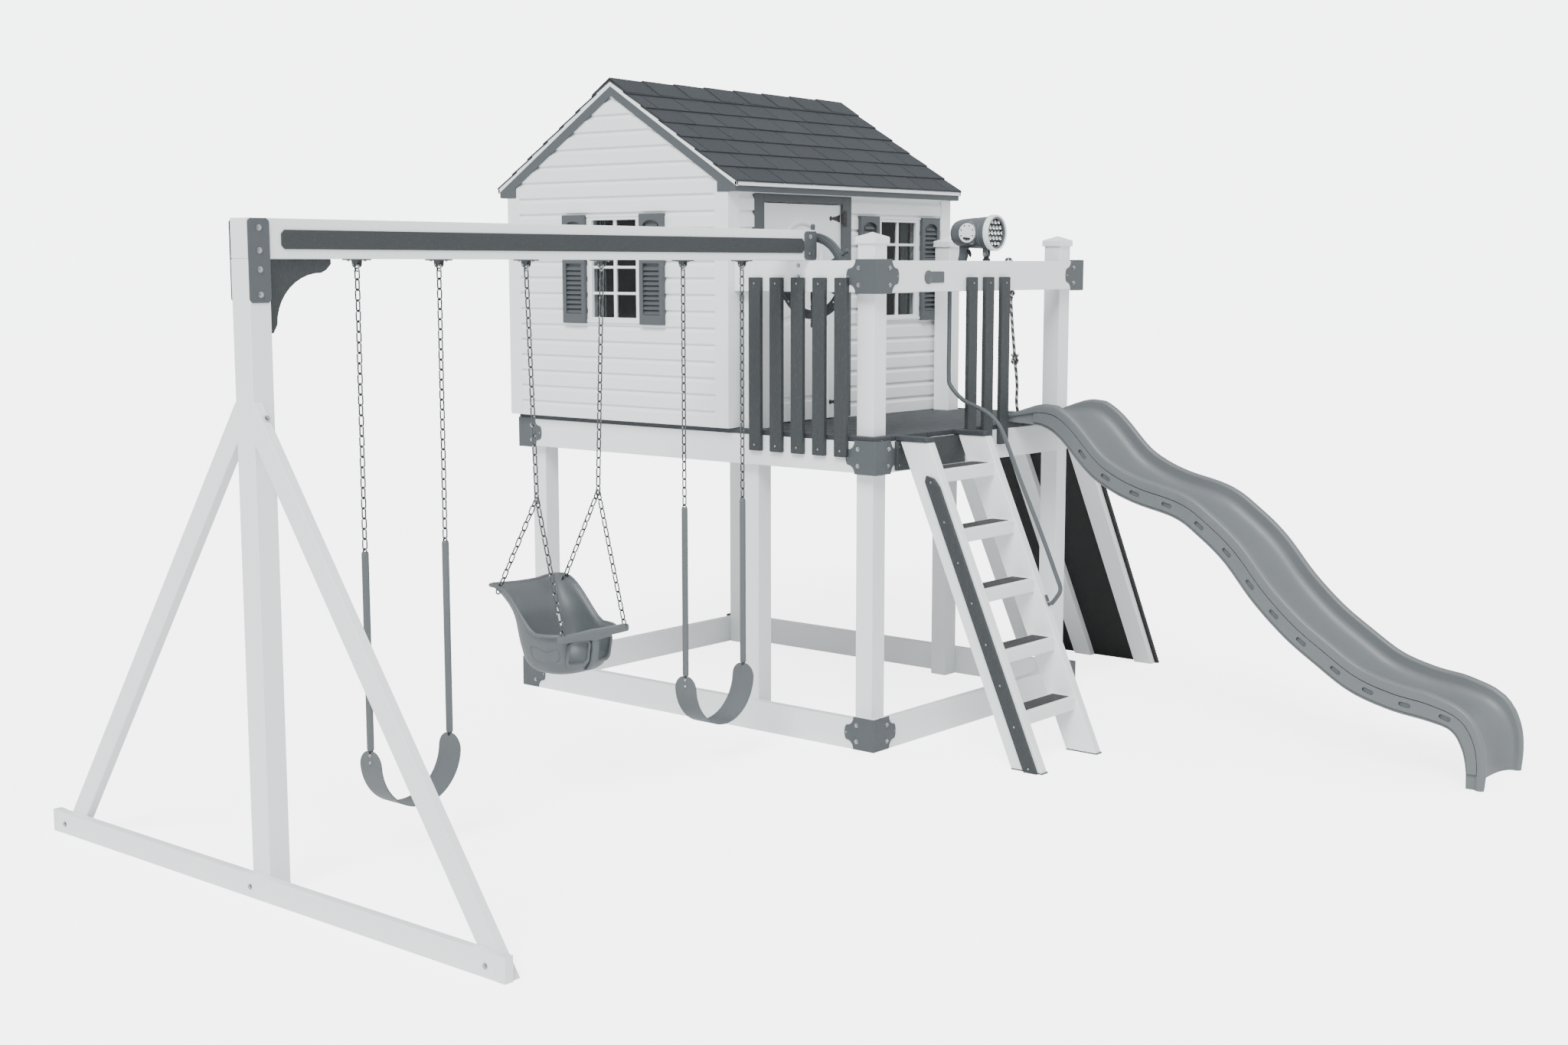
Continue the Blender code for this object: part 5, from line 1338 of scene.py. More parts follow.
def makeHoldTree():
    tree, entry, leave = growthTree("climbingHolds", [
        ("Radius", "NodeSocketFloat", 0.042), ("Roughness", "NodeSocketFloat", 0.5),
        ("Seed", "NodeSocketInt", 5)])
    take = entry.outputs
    blob = joinNode(tree, "GeometryNodeMeshIcoSphere", Radius=take["Radius"], Subdivisions=3)
    place = tree.nodes.new("GeometryNodeInputPosition")
    lumps = joinNode(tree, "ShaderNodeTexNoise", Vector=place.outputs[0], Scale=26.0)
    swell = joinNode(tree, "ShaderNodeMath", _0=lumps.outputs["Fac"], _1=take["Roughness"])
    swell.operation = "MULTIPLY"
    grown = joinNode(tree, "ShaderNodeVectorMath", _0=place.outputs[0])
    grown.operation = "SCALE"
    tree.links.new(swell.outputs[0], grown.inputs["Scale"])
    shaped = joinNode(tree, "GeometryNodeSetPosition", Geometry=blob.outputs["Mesh"], Offset=grown.outputs[0])
    flat = joinNode(tree, "GeometryNodeTransform", Geometry=shaped.outputs[0], Scale=(1.0, 1.0, 0.55))
    aim = tree.nodes.new("GeometryNodeInputNamedAttribute")
    aim.data_type = "FLOAT_VECTOR"
    aim.inputs["Name"].default_value = "aim"
    turn = joinNode(tree, "FunctionNodeAlignRotationToVector", Vector=aim.outputs["Attribute"])
    turn.axis = "Z"
    vary = tree.nodes.new("FunctionNodeRandomValue")
    vary.data_type = "FLOAT_VECTOR"
    vary.inputs[0].default_value = (0.8, 0.8, 0.8)
    vary.inputs[1].default_value = (1.25, 1.25, 1.0)
    tree.links.new(take["Seed"], vary.inputs["Seed"])
    holds = joinNode(tree, "GeometryNodeInstanceOnPoints", Points=take["Geometry"], Instance=flat.outputs[0],
                     Rotation=turn.outputs[0], Scale=vary.outputs[0])
    finishTree(tree, entry, leave, holds.outputs[0])
    return tree


def makeRockWall():
    look = rockLook
    lean, gap = look["lean"], look["gap"]
    slant = math.hypot(1, lean)
    top = deckTop
    outer = panelHigh.x
    inner = outer - look["panel"] * slant
    panel = bmesh.new()
    addPrism(panel, [(inner, 0), (outer, 0), (outer - top * lean, top), (inner - top * lean, top)], "Y",
             panelLow.y, panelHigh.y)
    makePiece("rock_wall_face", panel, "blackPanel", replacing=("rock_wall_panel",), roundBy=0.002)
    footIn = towerWidth + gap + (deckHeight - look["drop"]) * lean
    shelf = look["ribThick"] * slant
    last = panelHigh.y - look["inset"] - look["ribWidth"]
    middle = (look["inset"] + last) / 2
    rib = [(footIn, 0), (footIn + shelf, 0), (footIn + shelf - top * lean, top), (towerWidth + gap, top),
           (towerWidth + gap, deckHeight - look["drop"])]
    spine = bmesh.new()
    addPrism(spine, rib, "Y", middle, middle + look["ribWidth"])
    makePiece("rock_wall_middle_rib", spine, "whiteVinyl", roundBy=0.003, segments=3)
    for node in ("rock_wall_rib_near", "rock_wall_rib_far"):
        softenNode(node, "whiteVinyl", 0.003, 3)
    aim = Vector((1, 0, lean)).normalized()
    spots = []
    for row in range(look["holdRows"]):
        for column in range(look["holdColumns"]):
            z = 0.24 + row * 0.215 + (0.06 if column == 1 else 0.0)
            y = panelLow.y + 0.17 + column * 0.32 + (0.045 if row % 2 else -0.035)
            if abs(y - ropeLook["y"]) < 0.07:
                y += 0.11
            spots.append(Vector((outer - z * lean, y, z)))
    mesh = bpy.data.meshes.new("places")
    mesh.from_pydata([spot + home for spot in spots], [], [])
    aims = mesh.attributes.new("aim", "FLOAT_VECTOR", "POINT")
    for item in aims.data:
        item.vector = aim
    solid = growMesh(makeHoldTree(), mesh, "climbingHold", {"Radius": 0.030, "Roughness": 0.55, "Seed": 5})
    trimmed = bmesh.new()
    trimmed.from_mesh(solid)
    cutAway(trimmed, Vector((outer, 0, 0)) + home + aim * 0.0002, -aim)
    trimmed.to_mesh(solid)
    trimmed.free()
    mountPiece("climbing_holds", solid, "climbingHold", smooth=60)
    for spot in spots:
        fasten("stud", spot + aim * 0.026, aim)
    for y in (look["inset"] + 0.058, middle + 0.058, last + 0.058):
        for z in (0.10, 0.50, 0.90, 1.30, 1.50):
            fasten("screw", (outer - z * lean, y, z), aim, finish="blackPlastic")


makeLadder()
makeHandrailEnds()
makeSlide()
makeRockWall()
print("ladder, slide and climbing wall made")

bayLook = {"stripLow": 2.429, "stripHigh": 2.500, "stripStart": -3.077, "stripEnd": -0.039, "hangers":
           (-2.694, -2.287, -1.815, -1.371, -0.848, -0.437), "pivotDrop": 0.045, "boltRoom": 0.0072}
mastLow, mastHigh = layoutBox("a_frame_post")
pivotZ = railHigh.z + 0.0003 - bayLook["pivotDrop"]


def makeHangers():
    steel, bright = bmesh.new(), bmesh.new()
    floor = railHigh.z + 0.0003
    for x in bayLook["hangers"]:
        plate = [(x - 0.055, beamY - 0.020), (x + 0.055, beamY - 0.020), (x + 0.055, beamY + 0.020),
                 (x - 0.055, beamY + 0.020)]
        addPrism(steel, plate, "Z", floor - 0.005, floor - 0.0002)
        for side in (-1, 1):
            cheek = [(beamY - 0.017, floor - 0.004), (beamY + 0.017, floor - 0.004), (beamY + 0.013, floor - 0.026),
                     (beamY, floor - 0.034), (beamY - 0.013, floor - 0.026)]
            start = x + side * 0.010
            addPrism(steel, cheek, "X", min(start, start + side * 0.004), max(start, start + side * 0.004))
        addRod(bright, (x - 0.019, beamY, floor - 0.021), (x + 0.019, beamY, floor - 0.021), 0.0040, 12)
        loop = [Vector((x, beamY + 0.0115 * math.sin(a), floor - 0.0315 + 0.0155 * math.cos(a)))
                for a in (2 * math.pi * i / 18 for i in range(18))]
        addTube(bright, loop, 0.0034, 8, closed=True)
        for lift in (-0.040, 0.040):
            fasten("stud", (x + lift, beamY, floor - 0.005), (0, 0, -1))
    for z in (0.110, 0.050):
        fasten("bolt", (-0.0005, 0.905, z), (-1, 0, 0))
    makePiece("swing_hangers", steel, "slatePaint", roundBy=0.001)
    makePiece("swing_hooks", bright, "brightBolt", smooth=50)


def makeBay():
    look = bayLook
    beam = bmesh.new()
    addBox(beam, (beamLow.x, beamY - 0.051, railHigh.z + 0.0003), (beamHigh.x, beamY + 0.051, beamHigh.z))
    makePiece("swing_beam_sleeve", beam, "whiteVinyl", replacing=("swing_beam",), roundBy=0.0030)
    for node in ("a_frame_post", "a_frame_brace_front", "a_frame_brace_rear"):
        softenNode(node, "whiteVinyl", 0.0030)
    low, high, start, end = look["stripLow"], look["stripHigh"], look["stripStart"], look["stripEnd"]
    for side, name in ((-1, "front"), (1, "rear")):
        face = beamY + side * 0.0513
        clip = 0.014
        outline = [(start + clip, low), (end - clip, low), (end, low + clip), (end, high - clip),
                   (end - clip, high), (start + clip, high), (start, high - clip), (start, low + clip)]
        form = bmesh.new()
        addPrism(form, outline, "Y", min(face, face + side * 0.0055), max(face, face + side * 0.0055))
        makePiece(f"beam_strip_{name}", form, "levelBoard", roundBy=0.002)
    steel = bmesh.new()
    for side in (-1, 1):
        face = beamY + side * 0.0515
        a, b = sorted((face, face + side * 0.0045))
        clip = 0.012
        tower = [(-0.034 + clip, 2.397), (0.059 - clip, 2.397), (0.059, 2.397 + clip), (0.059, 2.535 - clip),
                 (0.059 - clip, 2.535), (-0.034 + clip, 2.535), (-0.034, 2.535 - clip), (-0.034, 2.397 + clip)]
        addPrism(steel, tower, "Y", a, b)
        for z in (2.509, 2.428):
            fasten("bolt", (0.007, face + side * 0.0045, z), (0, side, 0))
        outer = beamY + side * 0.0540
        a, b = sorted((outer, outer + side * 0.0045))
        left, right = mastLow.x, -3.130
        mast = [(left, 2.234 + clip), (left + clip, 2.234), (right - clip, 2.234), (right, 2.234 + clip),
                (right, 2.541 - clip), (right - clip, 2.541), (left + clip, 2.541), (left, 2.541 - clip)]
        addPrism(steel, mast, "Y", a, b)
        for z in (2.506, 2.424, 2.355, 2.264):
            fasten("bolt", ((left + right) / 2, outer + side * 0.0045, z), (0, side, 0))
    addBox(steel, (beamHigh.x + 0.0003, beamY - 0.056, 2.397), (beamHigh.x + 0.0045, beamY + 0.056, 2.535))
    for z in (2.370, 2.316):
        fasten("bolt", (-0.0004, 0.478, z), (-1, 0, 0))
    makePiece("beam_brackets", steel, "slatePaint", roundBy=0.0012)
    corbel = bmesh.new()
    top, side = railHigh.z - 0.0003, 0.030
    tipX, tipZ = mastHigh.x + 0.0003, 2.121
    curve = []
    for step in range(11):
        a = math.pi / 2 * step / 10
        curve.append((-2.882 - 0.205 * math.sin(a), 2.342 - 0.190 * (1 - math.cos(a))))
    outline = [(tipX, top), (-2.837, top), (-2.837, 2.386 - 0.012), (-2.860, 2.352), *curve,
               (-3.105, 2.121), (tipX, tipZ)]
    addPrism(corbel, outline, "Y", beamY - side, beamY + side)
    makePiece("beam_corbel", corbel, "uprightBoard", roundBy=0.003, segments=3)
    baseLow, baseHigh = layoutBox("a_frame_base")
    baseFace = baseLow.x + look["boltRoom"]
    board = bmesh.new()
    addBox(board, (baseFace, baseLow.y + 0.002, 0.0), baseHigh - yAxis * 0.002)
    makePiece("a_frame_base_board", board, "whiteVinyl", replacing=("a_frame_base",), roundBy=0.003)
    caps = bmesh.new()
    for start, end in ((baseLow.y, baseLow.y + 0.045), (baseHigh.y - 0.045, baseHigh.y)):
        addBox(caps, (baseFace - 0.0010, start, 0.0), (baseHigh.x + 0.0012, end, baseHigh.z + 0.0012))
    makePiece("a_frame_base_caps", caps, "whitePlastic", roundBy=0.002)
    for y in (-0.834, 0.485, 1.789):
        fasten("bolt", (baseFace, y, 0.043), (-1, 0, 0))
    for side in (-1, 1):
        spot = Vector((mastLow.x + 0.024, beamY + side * 0.103, 1.818))
        fasten("bolt", spot, (0, side * 0.80, 0.60))
    feet = bmesh.new()
    addBox(feet, (mastLow.x - 0.001, mastLow.y - 0.001, 0.0), (mastHigh.x + 0.001, mastHigh.y + 0.001, 0.006))
    makePiece("a_frame_foot", feet, "steelTube", roundBy=0.001)


makeBay()
makeHangers()
print("swing frame made")

chainLook = {"pitch": 0.0400, "width": 0.0205, "wire": 0.0034, "sides": 5}
swingLook = {"sleeveTop": 1.259, "sleeveFoot": 0.461, "sleeveRadius": 0.0145, "beltTop": 0.430, "beltThick": 0.006,
             "beltWidth": 0.130, "splitZ": 1.386}


def makeChainTree():
    tree, entry, leave = growthTree("chainLinks", [
        ("Pitch", "NodeSocketFloat", 0.034), ("Link Width", "NodeSocketFloat", 0.016),
        ("Wire Radius", "NodeSocketFloat", 0.0022), ("Wire Sides", "NodeSocketInt", 5)])
    take = entry.outputs
    reckon = functools.partial(reckonNode, tree)

    run = joinNode(tree, "GeometryNodeMeshToCurve", Mesh=take["Geometry"])
    stops = joinNode(tree, "GeometryNodeResampleCurve", mode="LENGTH", Curve=run.outputs[0],
                     Length=take["Pitch"])
    length = reckon("ADD", take["Pitch"], reckon("MULTIPLY", take["Wire Radius"], 1.6))
    oval = joinNode(tree, "GeometryNodeCurvePrimitiveQuadrilateral", Width=take["Link Width"], Height=length)
    eased = joinNode(tree, "GeometryNodeFilletCurve", mode="POLY", Curve=oval.outputs[0], Count=2,
                     Radius=reckon("MULTIPLY", take["Link Width"], 0.46))
    wire = joinNode(tree, "GeometryNodeCurvePrimitiveCircle", Resolution=take["Wire Sides"],
                    Radius=take["Wire Radius"])
    link = joinNode(tree, "GeometryNodeCurveToMesh", Curve=eased.outputs[0], Profile_Curve=wire.outputs[0])
    upright = joinNode(tree, "GeometryNodeTransform", Geometry=link.outputs[0],
                       Rotation=(math.pi / 2, 0.0, 0.0))
    tangent = tree.nodes.new("GeometryNodeInputTangent")
    aimed = joinNode(tree, "FunctionNodeAlignRotationToVector", Vector=tangent.outputs[0])
    aimed.axis = "Z"
    order = tree.nodes.new("GeometryNodeInputIndex")
    roll = joinNode(tree, "ShaderNodeCombineXYZ",
                    Z=reckon("MULTIPLY", order.outputs[0], math.pi / 2))
    rolled = joinNode(tree, "FunctionNodeEulerToRotation", Euler=roll.outputs[0])
    turned = joinNode(tree, "FunctionNodeRotateRotation", Rotation=aimed.outputs[0], Rotate_By=rolled.outputs[0])
    turned.rotation_space = "LOCAL"
    links = joinNode(tree, "GeometryNodeInstanceOnPoints", Points=stops.outputs[0], Instance=upright.outputs[0],
                     Rotation=turned.outputs[0])
    finishTree(tree, entry, leave, links.outputs[0])
    return tree


chainTree = makeChainTree()


def makeChain(name, body, runs, replacing):
    mesh = bpy.data.meshes.new("run")
    points, edges = [], []
    for start, end in runs:
        points += [Vector(start) + home, Vector(end) + home]
        edges.append((len(points) - 2, len(points) - 1))
    mesh.from_pydata(points, edges, [])
    look = chainLook
    solid = growMesh(chainTree, mesh, "zincChain", {
        "Pitch": look["pitch"], "Link Width": look["width"], "Wire Radius": look["wire"],
        "Wire Sides": look["sides"]})
    mountPiece(name, solid, "zincChain", body, replacing, smooth=60)


def makeBeltSwing(prefix):
    look = swingLook
    body = f"{prefix}_swing"
    lows = [layoutBox(f"{prefix}_swing_chain_{side}") for side in ("left", "right")]
    places = [(low.x + high.x) / 2 for low, high in lows]
    runs = []
    sleeves = bmesh.new()
    for x in places:
        runs.append(((x, beamY, pivotZ - 0.012), (x, beamY, look["sleeveTop"] - 0.01)))
        runs.append(((x, beamY, look["sleeveFoot"] + 0.012), (x, beamY, look["beltTop"] - 0.006)))
        top, foot, radius = look["sleeveTop"], look["sleeveFoot"], look["sleeveRadius"]
        profile = [(radius * 0.55, foot), (radius * 0.82, foot + 0.001), (radius * 0.97, foot + 0.005),
                   (radius, foot + 0.010), (radius, top - 0.010), (radius * 0.97, top - 0.005),
                   (radius * 0.82, top - 0.001), (radius * 0.55, top)]
        addTurned(sleeves, profile, (x, beamY, 0), zAxis, 20)
    makePiece(f"{prefix}_swing_grips", sleeves, "swingPlastic", body, smooth=50)
    makeChain(f"{prefix}_swing_chains", body, runs,
              (f"{prefix}_swing_chain_left", f"{prefix}_swing_chain_right"))
    middle, half = sum(places) / 2, (places[1] - places[0]) / 2
    form = bmesh.new()
    width, count, across = look["beltWidth"] / 2, 72, 12
    lead = 0.050
    total = math.pi * half + 2 * lead
    rows = []
    for step in range(count + 1):
        share = step / count
        eased = 0.5 - 0.5 * math.cos(math.pi * share)
        share = 0.5 * share + 0.5 * eased
        run = share * total
        end = min(run, total - run)
        reach = width * math.sqrt(max(0.0, 1 - max(0.0, 1 - end / width) ** 2)) + 0.0006
        if run < lead:
            x, z = middle - half, look["beltTop"] + lead - run
        elif run > total - lead:
            x, z = middle + half, look["beltTop"] + run - total + lead
        else:
            a = (run - lead) / half
            x, z = middle - half * math.cos(a), look["beltTop"] - half * math.sin(a)
        rows.append([form.verts.new((x, beamY + reach * (2 * i / across - 1), z - 0.018)) for i in range(across + 1)])
    for a, b in zip(rows, rows[1:]):
        for i in range(across):
            form.faces.new((a[i], b[i], b[i + 1], a[i + 1]))
    belt = thickened(form, look["beltThick"], 0)
    bmesh.ops.recalc_face_normals(belt, faces=belt.faces)
    makePiece(f"{prefix}_swing_belt", belt, "swingPlastic", body, (f"{prefix}_swing_seat",), 0.0016, 2, 50)
    for x, side in zip(places, (-1, 1)):
        spot = Vector((x + side * 0.003, beamY, look["beltTop"] + 0.012))
        for lift in (0.0, -0.030):
            fasten("stud", spot + zAxis * lift, (side, 0, 0), body)


bucketLook = {"levels": [(0.612, 0.020, 0.110, 0.085), (0.616, 0.020, 0.130, 0.107), (0.628, 0.020, 0.147, 0.127),
                         (0.648, 0.021, 0.163, 0.143), (0.670, 0.022, 0.175, 0.155), (0.740, 0.026, 0.188, 0.170),
                         (0.800, 0.032, 0.194, 0.178), (0.880, 0.050, 0.196, 0.180), (0.960, 0.070, 0.198, 0.180),
                         (1.010, 0.080, 0.199, 0.178)],
              "brim": 0.796, "crown": 0.990, "columns": 96, "rows": 34, "wall": 0.006}


def bucketRing(z):
    levels = bucketLook["levels"]
    for a, b in zip(levels, levels[1:]):
        if z <= b[0]:
            t = (z - a[0]) / (b[0] - a[0])
            return [p + (q - p) * t for p, q in zip(a[1:], b[1:])]
    return list(levels[-1][1:])


def makeToddlerSwing():
    look = bucketLook
    body = "toddler_swing"
    places = [-1.815, -1.371]
    middle = sum(places) / 2
    form = bmesh.new()
    floor = look["levels"][0][0]

    def spotAt(angle, z, swell=0.0):
        shift, halfX, halfY = bucketRing(z)
        c, s = math.cos(angle), math.sin(angle)
        return Vector((middle + (halfX + swell) * math.copysign(abs(c) ** 0.7, c),
                       beamY + shift + (halfY + swell) * math.copysign(abs(s) ** 0.7, s), z))

    def brimAt(angle):
        y = beamY + 0.045 + 0.18 * math.copysign(abs(math.sin(angle)) ** 0.7, math.sin(angle))
        t = min(1.0, max(0.0, (y - 0.475) / 0.175))
        lift = t * t * (3 - 2 * t)
        side = abs(math.cos(angle)) ** 6
        back = max(0.0, math.sin(angle))
        return look["brim"] + (look["crown"] - 0.010 * back * (1 - side) - look["brim"]) * lift

    rows = []
    for row in range(look["rows"] + 1):
        ring = []
        for column in range(look["columns"]):
            angle = 2 * math.pi * column / look["columns"]
            top = brimAt(angle)
            share = row / look["rows"]
            share = share ** 1.35
            z = floor + (top - floor) * share
            flare = 0.012 * max(0.0, (share - 0.86) / 0.14) ** 2
            hollow = -0.006 * math.exp(-((share - 0.68) / 0.14) ** 2) * max(0.0, math.sin(angle)) ** 2
            corner = max(0.0, math.sin(angle)) * math.exp(-((abs(math.cos(angle)) - 0.62) / 0.30) ** 2)
            ear = 0.090 * corner * max(0.0, (z - 0.80) / 0.19) ** 2
            ring.append(form.verts.new(spotAt(angle, z, flare + hollow + ear)))
        rows.append(ring)
    count = look["columns"]
    form.faces.new(rows[0][::-1])
    for a, b in zip(rows, rows[1:]):
        for i in range(count):
            j = (i + 1) % count
            form.faces.new((a[i], a[j], b[j], b[i]))
    brim = [vert.co.copy() for vert in rows[-1]]
    form = thickened(form, look["wall"], -1)
    bmesh.ops.recalc_face_normals(form, faces=form.faces)
    tools = bmesh.new()
    lips = []
    for side in (-1, 1):
        near, far, low, high = 0.026, 0.128, 0.660, 0.768
        corner = 0.024
        outline = []
        for cx, cz, turn in ((far - corner, high - corner, 0), (near + corner, high - corner, 90),
                             (near + corner, low + corner, 180), (far - corner, low + corner, 270)):
            for step in range(5):
                a = math.radians(turn + step * 22.5)
                outline.append((middle + side * (cx + corner * math.cos(a)), cz + corner * math.sin(a)))
        addPrism(tools, outline, "Y", 0.20, 0.45)
        lips.append(outline)
        back = middle + side * 0.118
        slot = [(back - 0.006, 0.770), (back + 0.006, 0.770), (back + 0.006, 0.850), (back - 0.006, 0.850)]
        addPrism(tools, slot, "Y", 0.60, 0.76)
    form = carved(form, tools)
    makePiece("toddler_seat_shell", form, "swingPlastic", body, ("toddler_swing_seat",), smooth=50)
    trim = bmesh.new()
    addTube(trim, brim, 0.0082, 10, closed=True)
    for outline in lips:
        loop = []
        for x, z in outline:
            shift, halfX, halfY = bucketRing(z)
            c = min(0.999, abs(x - middle) / halfX)
            s = (1 - c ** (2 / 0.7)) ** 0.35
            loop.append((x, beamY + shift - halfY * s - 0.001, z))
        addTube(trim, loop, 0.0085, 8, closed=True)
    makePiece("toddler_seat_rims", trim, "swingPlastic", body, smooth=60)
    bar = bmesh.new()
    front = beamY + 0.032 - 0.178
    ends = []
    for x, half, tall in ((-0.205, 0.014, 0.013), (-0.200, 0.018, 0.0165), (-0.10, 0.019, 0.018),
                          (-0.045, 0.021, 0.021), (0.0, 0.022, 0.026), (0.045, 0.021, 0.021),
                          (0.10, 0.019, 0.018), (0.200, 0.018, 0.0165), (0.205, 0.014, 0.013)):
        ring = []
        for step in range(16):
            a = 2 * math.pi * step / 16
            c, s = math.cos(a), math.sin(a)
            ring.append(bar.verts.new((middle + x, front + half * math.copysign(abs(c) ** 0.5, c),
                                       0.790 - (tall - 0.0165) * 0.6 + tall * math.copysign(abs(s) ** 0.5, s))))
        ends.append(ring)
    faces = [bar.faces.new(ends[0]), bar.faces.new(ends[-1][::-1])]
    for a, b in zip(ends, ends[1:]):
        for i in range(16):
            j = (i + 1) % 16
            faces.append(bar.faces.new((a[j], a[i], b[i], b[j])))
    post = []
    for z, half, deep, shift in ((0.790, 0.030, 0.016, 0.0), (0.760, 0.020, 0.013, -0.004),
                                 (0.720, 0.017, 0.012, -0.006), (0.675, 0.017, 0.012, 0.004),
                                 (0.645, 0.020, 0.013, 0.020), (0.630, 0.024, 0.012, 0.034)):
        ring = []
        for step in range(14):
            a = 2 * math.pi * step / 14
            c, s = math.cos(a), math.sin(a)
            ring.append(bar.verts.new((middle + half * math.copysign(abs(c) ** 0.6, c),
                                       front + shift + deep * math.copysign(abs(s) ** 0.6, s), z)))
        post.append(ring)
    faces += [bar.faces.new(post[0]), bar.faces.new(post[-1][::-1])]
    for a, b in zip(post, post[1:]):
        for i in range(14):
            j = (i + 1) % 14
            faces.append(bar.faces.new((a[j], a[i], b[i], b[j])))
    bmesh.ops.recalc_face_normals(bar, faces=faces)
    makePiece("toddler_seat_bar", bar, "swingPlastic", body, smooth=60, roundBy=0.0015)
    badge = bmesh.new()
    for side in (-1, 1):
        loop = []
        for y, z in ((0.375, 0.742), (0.400, 0.730), (0.430, 0.722), (0.470, 0.734), (0.505, 0.738), (0.520, 0.728),
                     (0.515, 0.700), (0.500, 0.676), (0.440, 0.672), (0.385, 0.682), (0.372, 0.700)):
            shift, halfX, halfY = bucketRing(z)
            s = min(0.999, abs(y - beamY - shift) / halfY)
            loop.append((middle + side * (halfX * (1 - s ** (2 / 0.7)) ** 0.35 + 0.0002), y, z))
        ring = smoothPath([*loop, loop[0]], 4)[:-1]
        addTube(badge, ring, 0.0018, 6, closed=True)
    makePiece("toddler_seat_side_panels", badge, "swingPlastic", body, smooth=60)
    runs = []
    for x, side in zip(places, (-1, 1)):
        split = Vector((middle + side * 0.184, beamY, swingLook["splitZ"]))
        runs.append(((x, beamY, pivotZ - 0.012), split))
        for half, offset, z in ((0.197, 0.236, 0.968), (0.186, -0.150, 0.806)):
            end = Vector((middle + side * half, beamY + offset, z))
            runs.append((split + (end - split).normalized() * 0.020, end))
    makeChain("toddler_swing_chains", body, runs, ("toddler_swing_chain_left", "toddler_swing_chain_right"))


makeBeltSwing("outer")
makeBeltSwing("inner")
makeToddlerSwing()
print("swings made")

wheelLook = {"radius": 0.212, "band": 0.044, "thick": 0.030, "reach": 0.255, "spokes": 6}


def addRing(form, profile, place, along, sides=64):
    # profile is a closed loop of (radius, distance along)
    turn = Vector(along).to_track_quat("Z", "Y").to_matrix()
    place = Vector(place)
    rings = []
    for radius, reach in profile:
        rings.append([form.verts.new(place + turn @ Vector((radius * math.cos(a), radius * math.sin(a), reach)))
                      for a in (2 * math.pi * i / sides for i in range(sides))])
    faces = []
    for a, b in zip(rings, rings[1:] + rings[:1]):
        for i in range(sides):
            j = (i + 1) % sides
            faces.append(form.faces.new((a[i], a[j], b[j], b[i])))
    bmesh.ops.recalc_face_normals(form, faces=faces)


def makeWheel():
    look = wheelLook
    y, z = 0.470, 2.318
    front = 0.088
    middle = Vector((front + look["thick"] / 2, y, z))
    outer, inner, half = look["radius"], look["radius"] - look["band"], look["thick"] / 2
    rim = bmesh.new()
    addRing(rim, [(inner, -half * 0.55), (inner + 0.002, -half * 0.75), (inner + 0.012, -half * 0.80),
                  (inner + 0.014, -half), (outer - 0.014, -half), (outer - 0.012, -half * 0.80),
                  (outer - 0.002, -half * 0.75), (outer, -half * 0.55), (outer, half * 0.55),
                  (outer - 0.002, half * 0.75), (outer - 0.012, half * 0.80), (outer - 0.014, half),
                  (inner + 0.014, half), (inner + 0.012, half * 0.80), (inner + 0.002, half * 0.75),
                  (inner, half * 0.55)], middle, xAxis)
    makePiece("wheel_rim", rim, "slatePaint", "wheel", ("ships_wheel",), smooth=30)
    spokes = bmesh.new()
    profile = [(0.0095, 0.028), (0.0095, 0.044), (0.0120, 0.050), (0.0085, 0.056), (0.0115, 0.085), (0.0120, 0.105),
               (0.0085, 0.140), (0.0120, 0.148), (0.0100, 0.155), (0.0100, 0.175)]
    handle = [(0.0085, 0.205), (0.0085, 0.214), (0.0118, 0.218), (0.0090, 0.223), (0.0112, 0.236), (0.0118, 0.245),
              (0.0095, 0.252), (0.0040, look["reach"])]
    for index in range(look["spokes"]):
        angle = math.pi / 6 + 2 * math.pi * index / look["spokes"]
        out = Vector((0, math.cos(angle), math.sin(angle)))
        addTurned(spokes, profile, middle, out, 16)
        addTurned(spokes, handle, middle, out, 16)
        for side in (-1, 1):
            for shift in (-0.20, 0.20):
                spot = Vector((0, math.cos(angle + shift), math.sin(angle + shift))) * (outer - look["band"] / 2)
                fasten("screw", middle + spot + xAxis * side * half, (side, 0, 0), "wheel")
    makePiece("wheel_spokes", spokes, "slatePaint", "wheel", smooth=40)
    hub = bmesh.new()
    addTurned(hub, [(0.030, 0.0505), (0.036, 0.053), (0.036, 0.084), (0.040, 0.088), (0.040, 0.116), (0.034, 0.121),
                    (0.026, 0.1245), (0.0, 0.126)], (0, y, z), xAxis, 40)
    makePiece("wheel_hub", hub, "slatePaint", "wheel", roundBy=0.001)
    fasten("bolt", (0.1255, y, z), (1, 0, 0), "wheel")


lampLook = {"x": 1.060, "front": 0.020, "axis": 2.537, "pivot": (0.085, 2.425), "ring": 0.093, "lensRadius": 0.074,
            "dialY": 0.150, "dialReach": 0.087, "cupPitch": 0.0305}


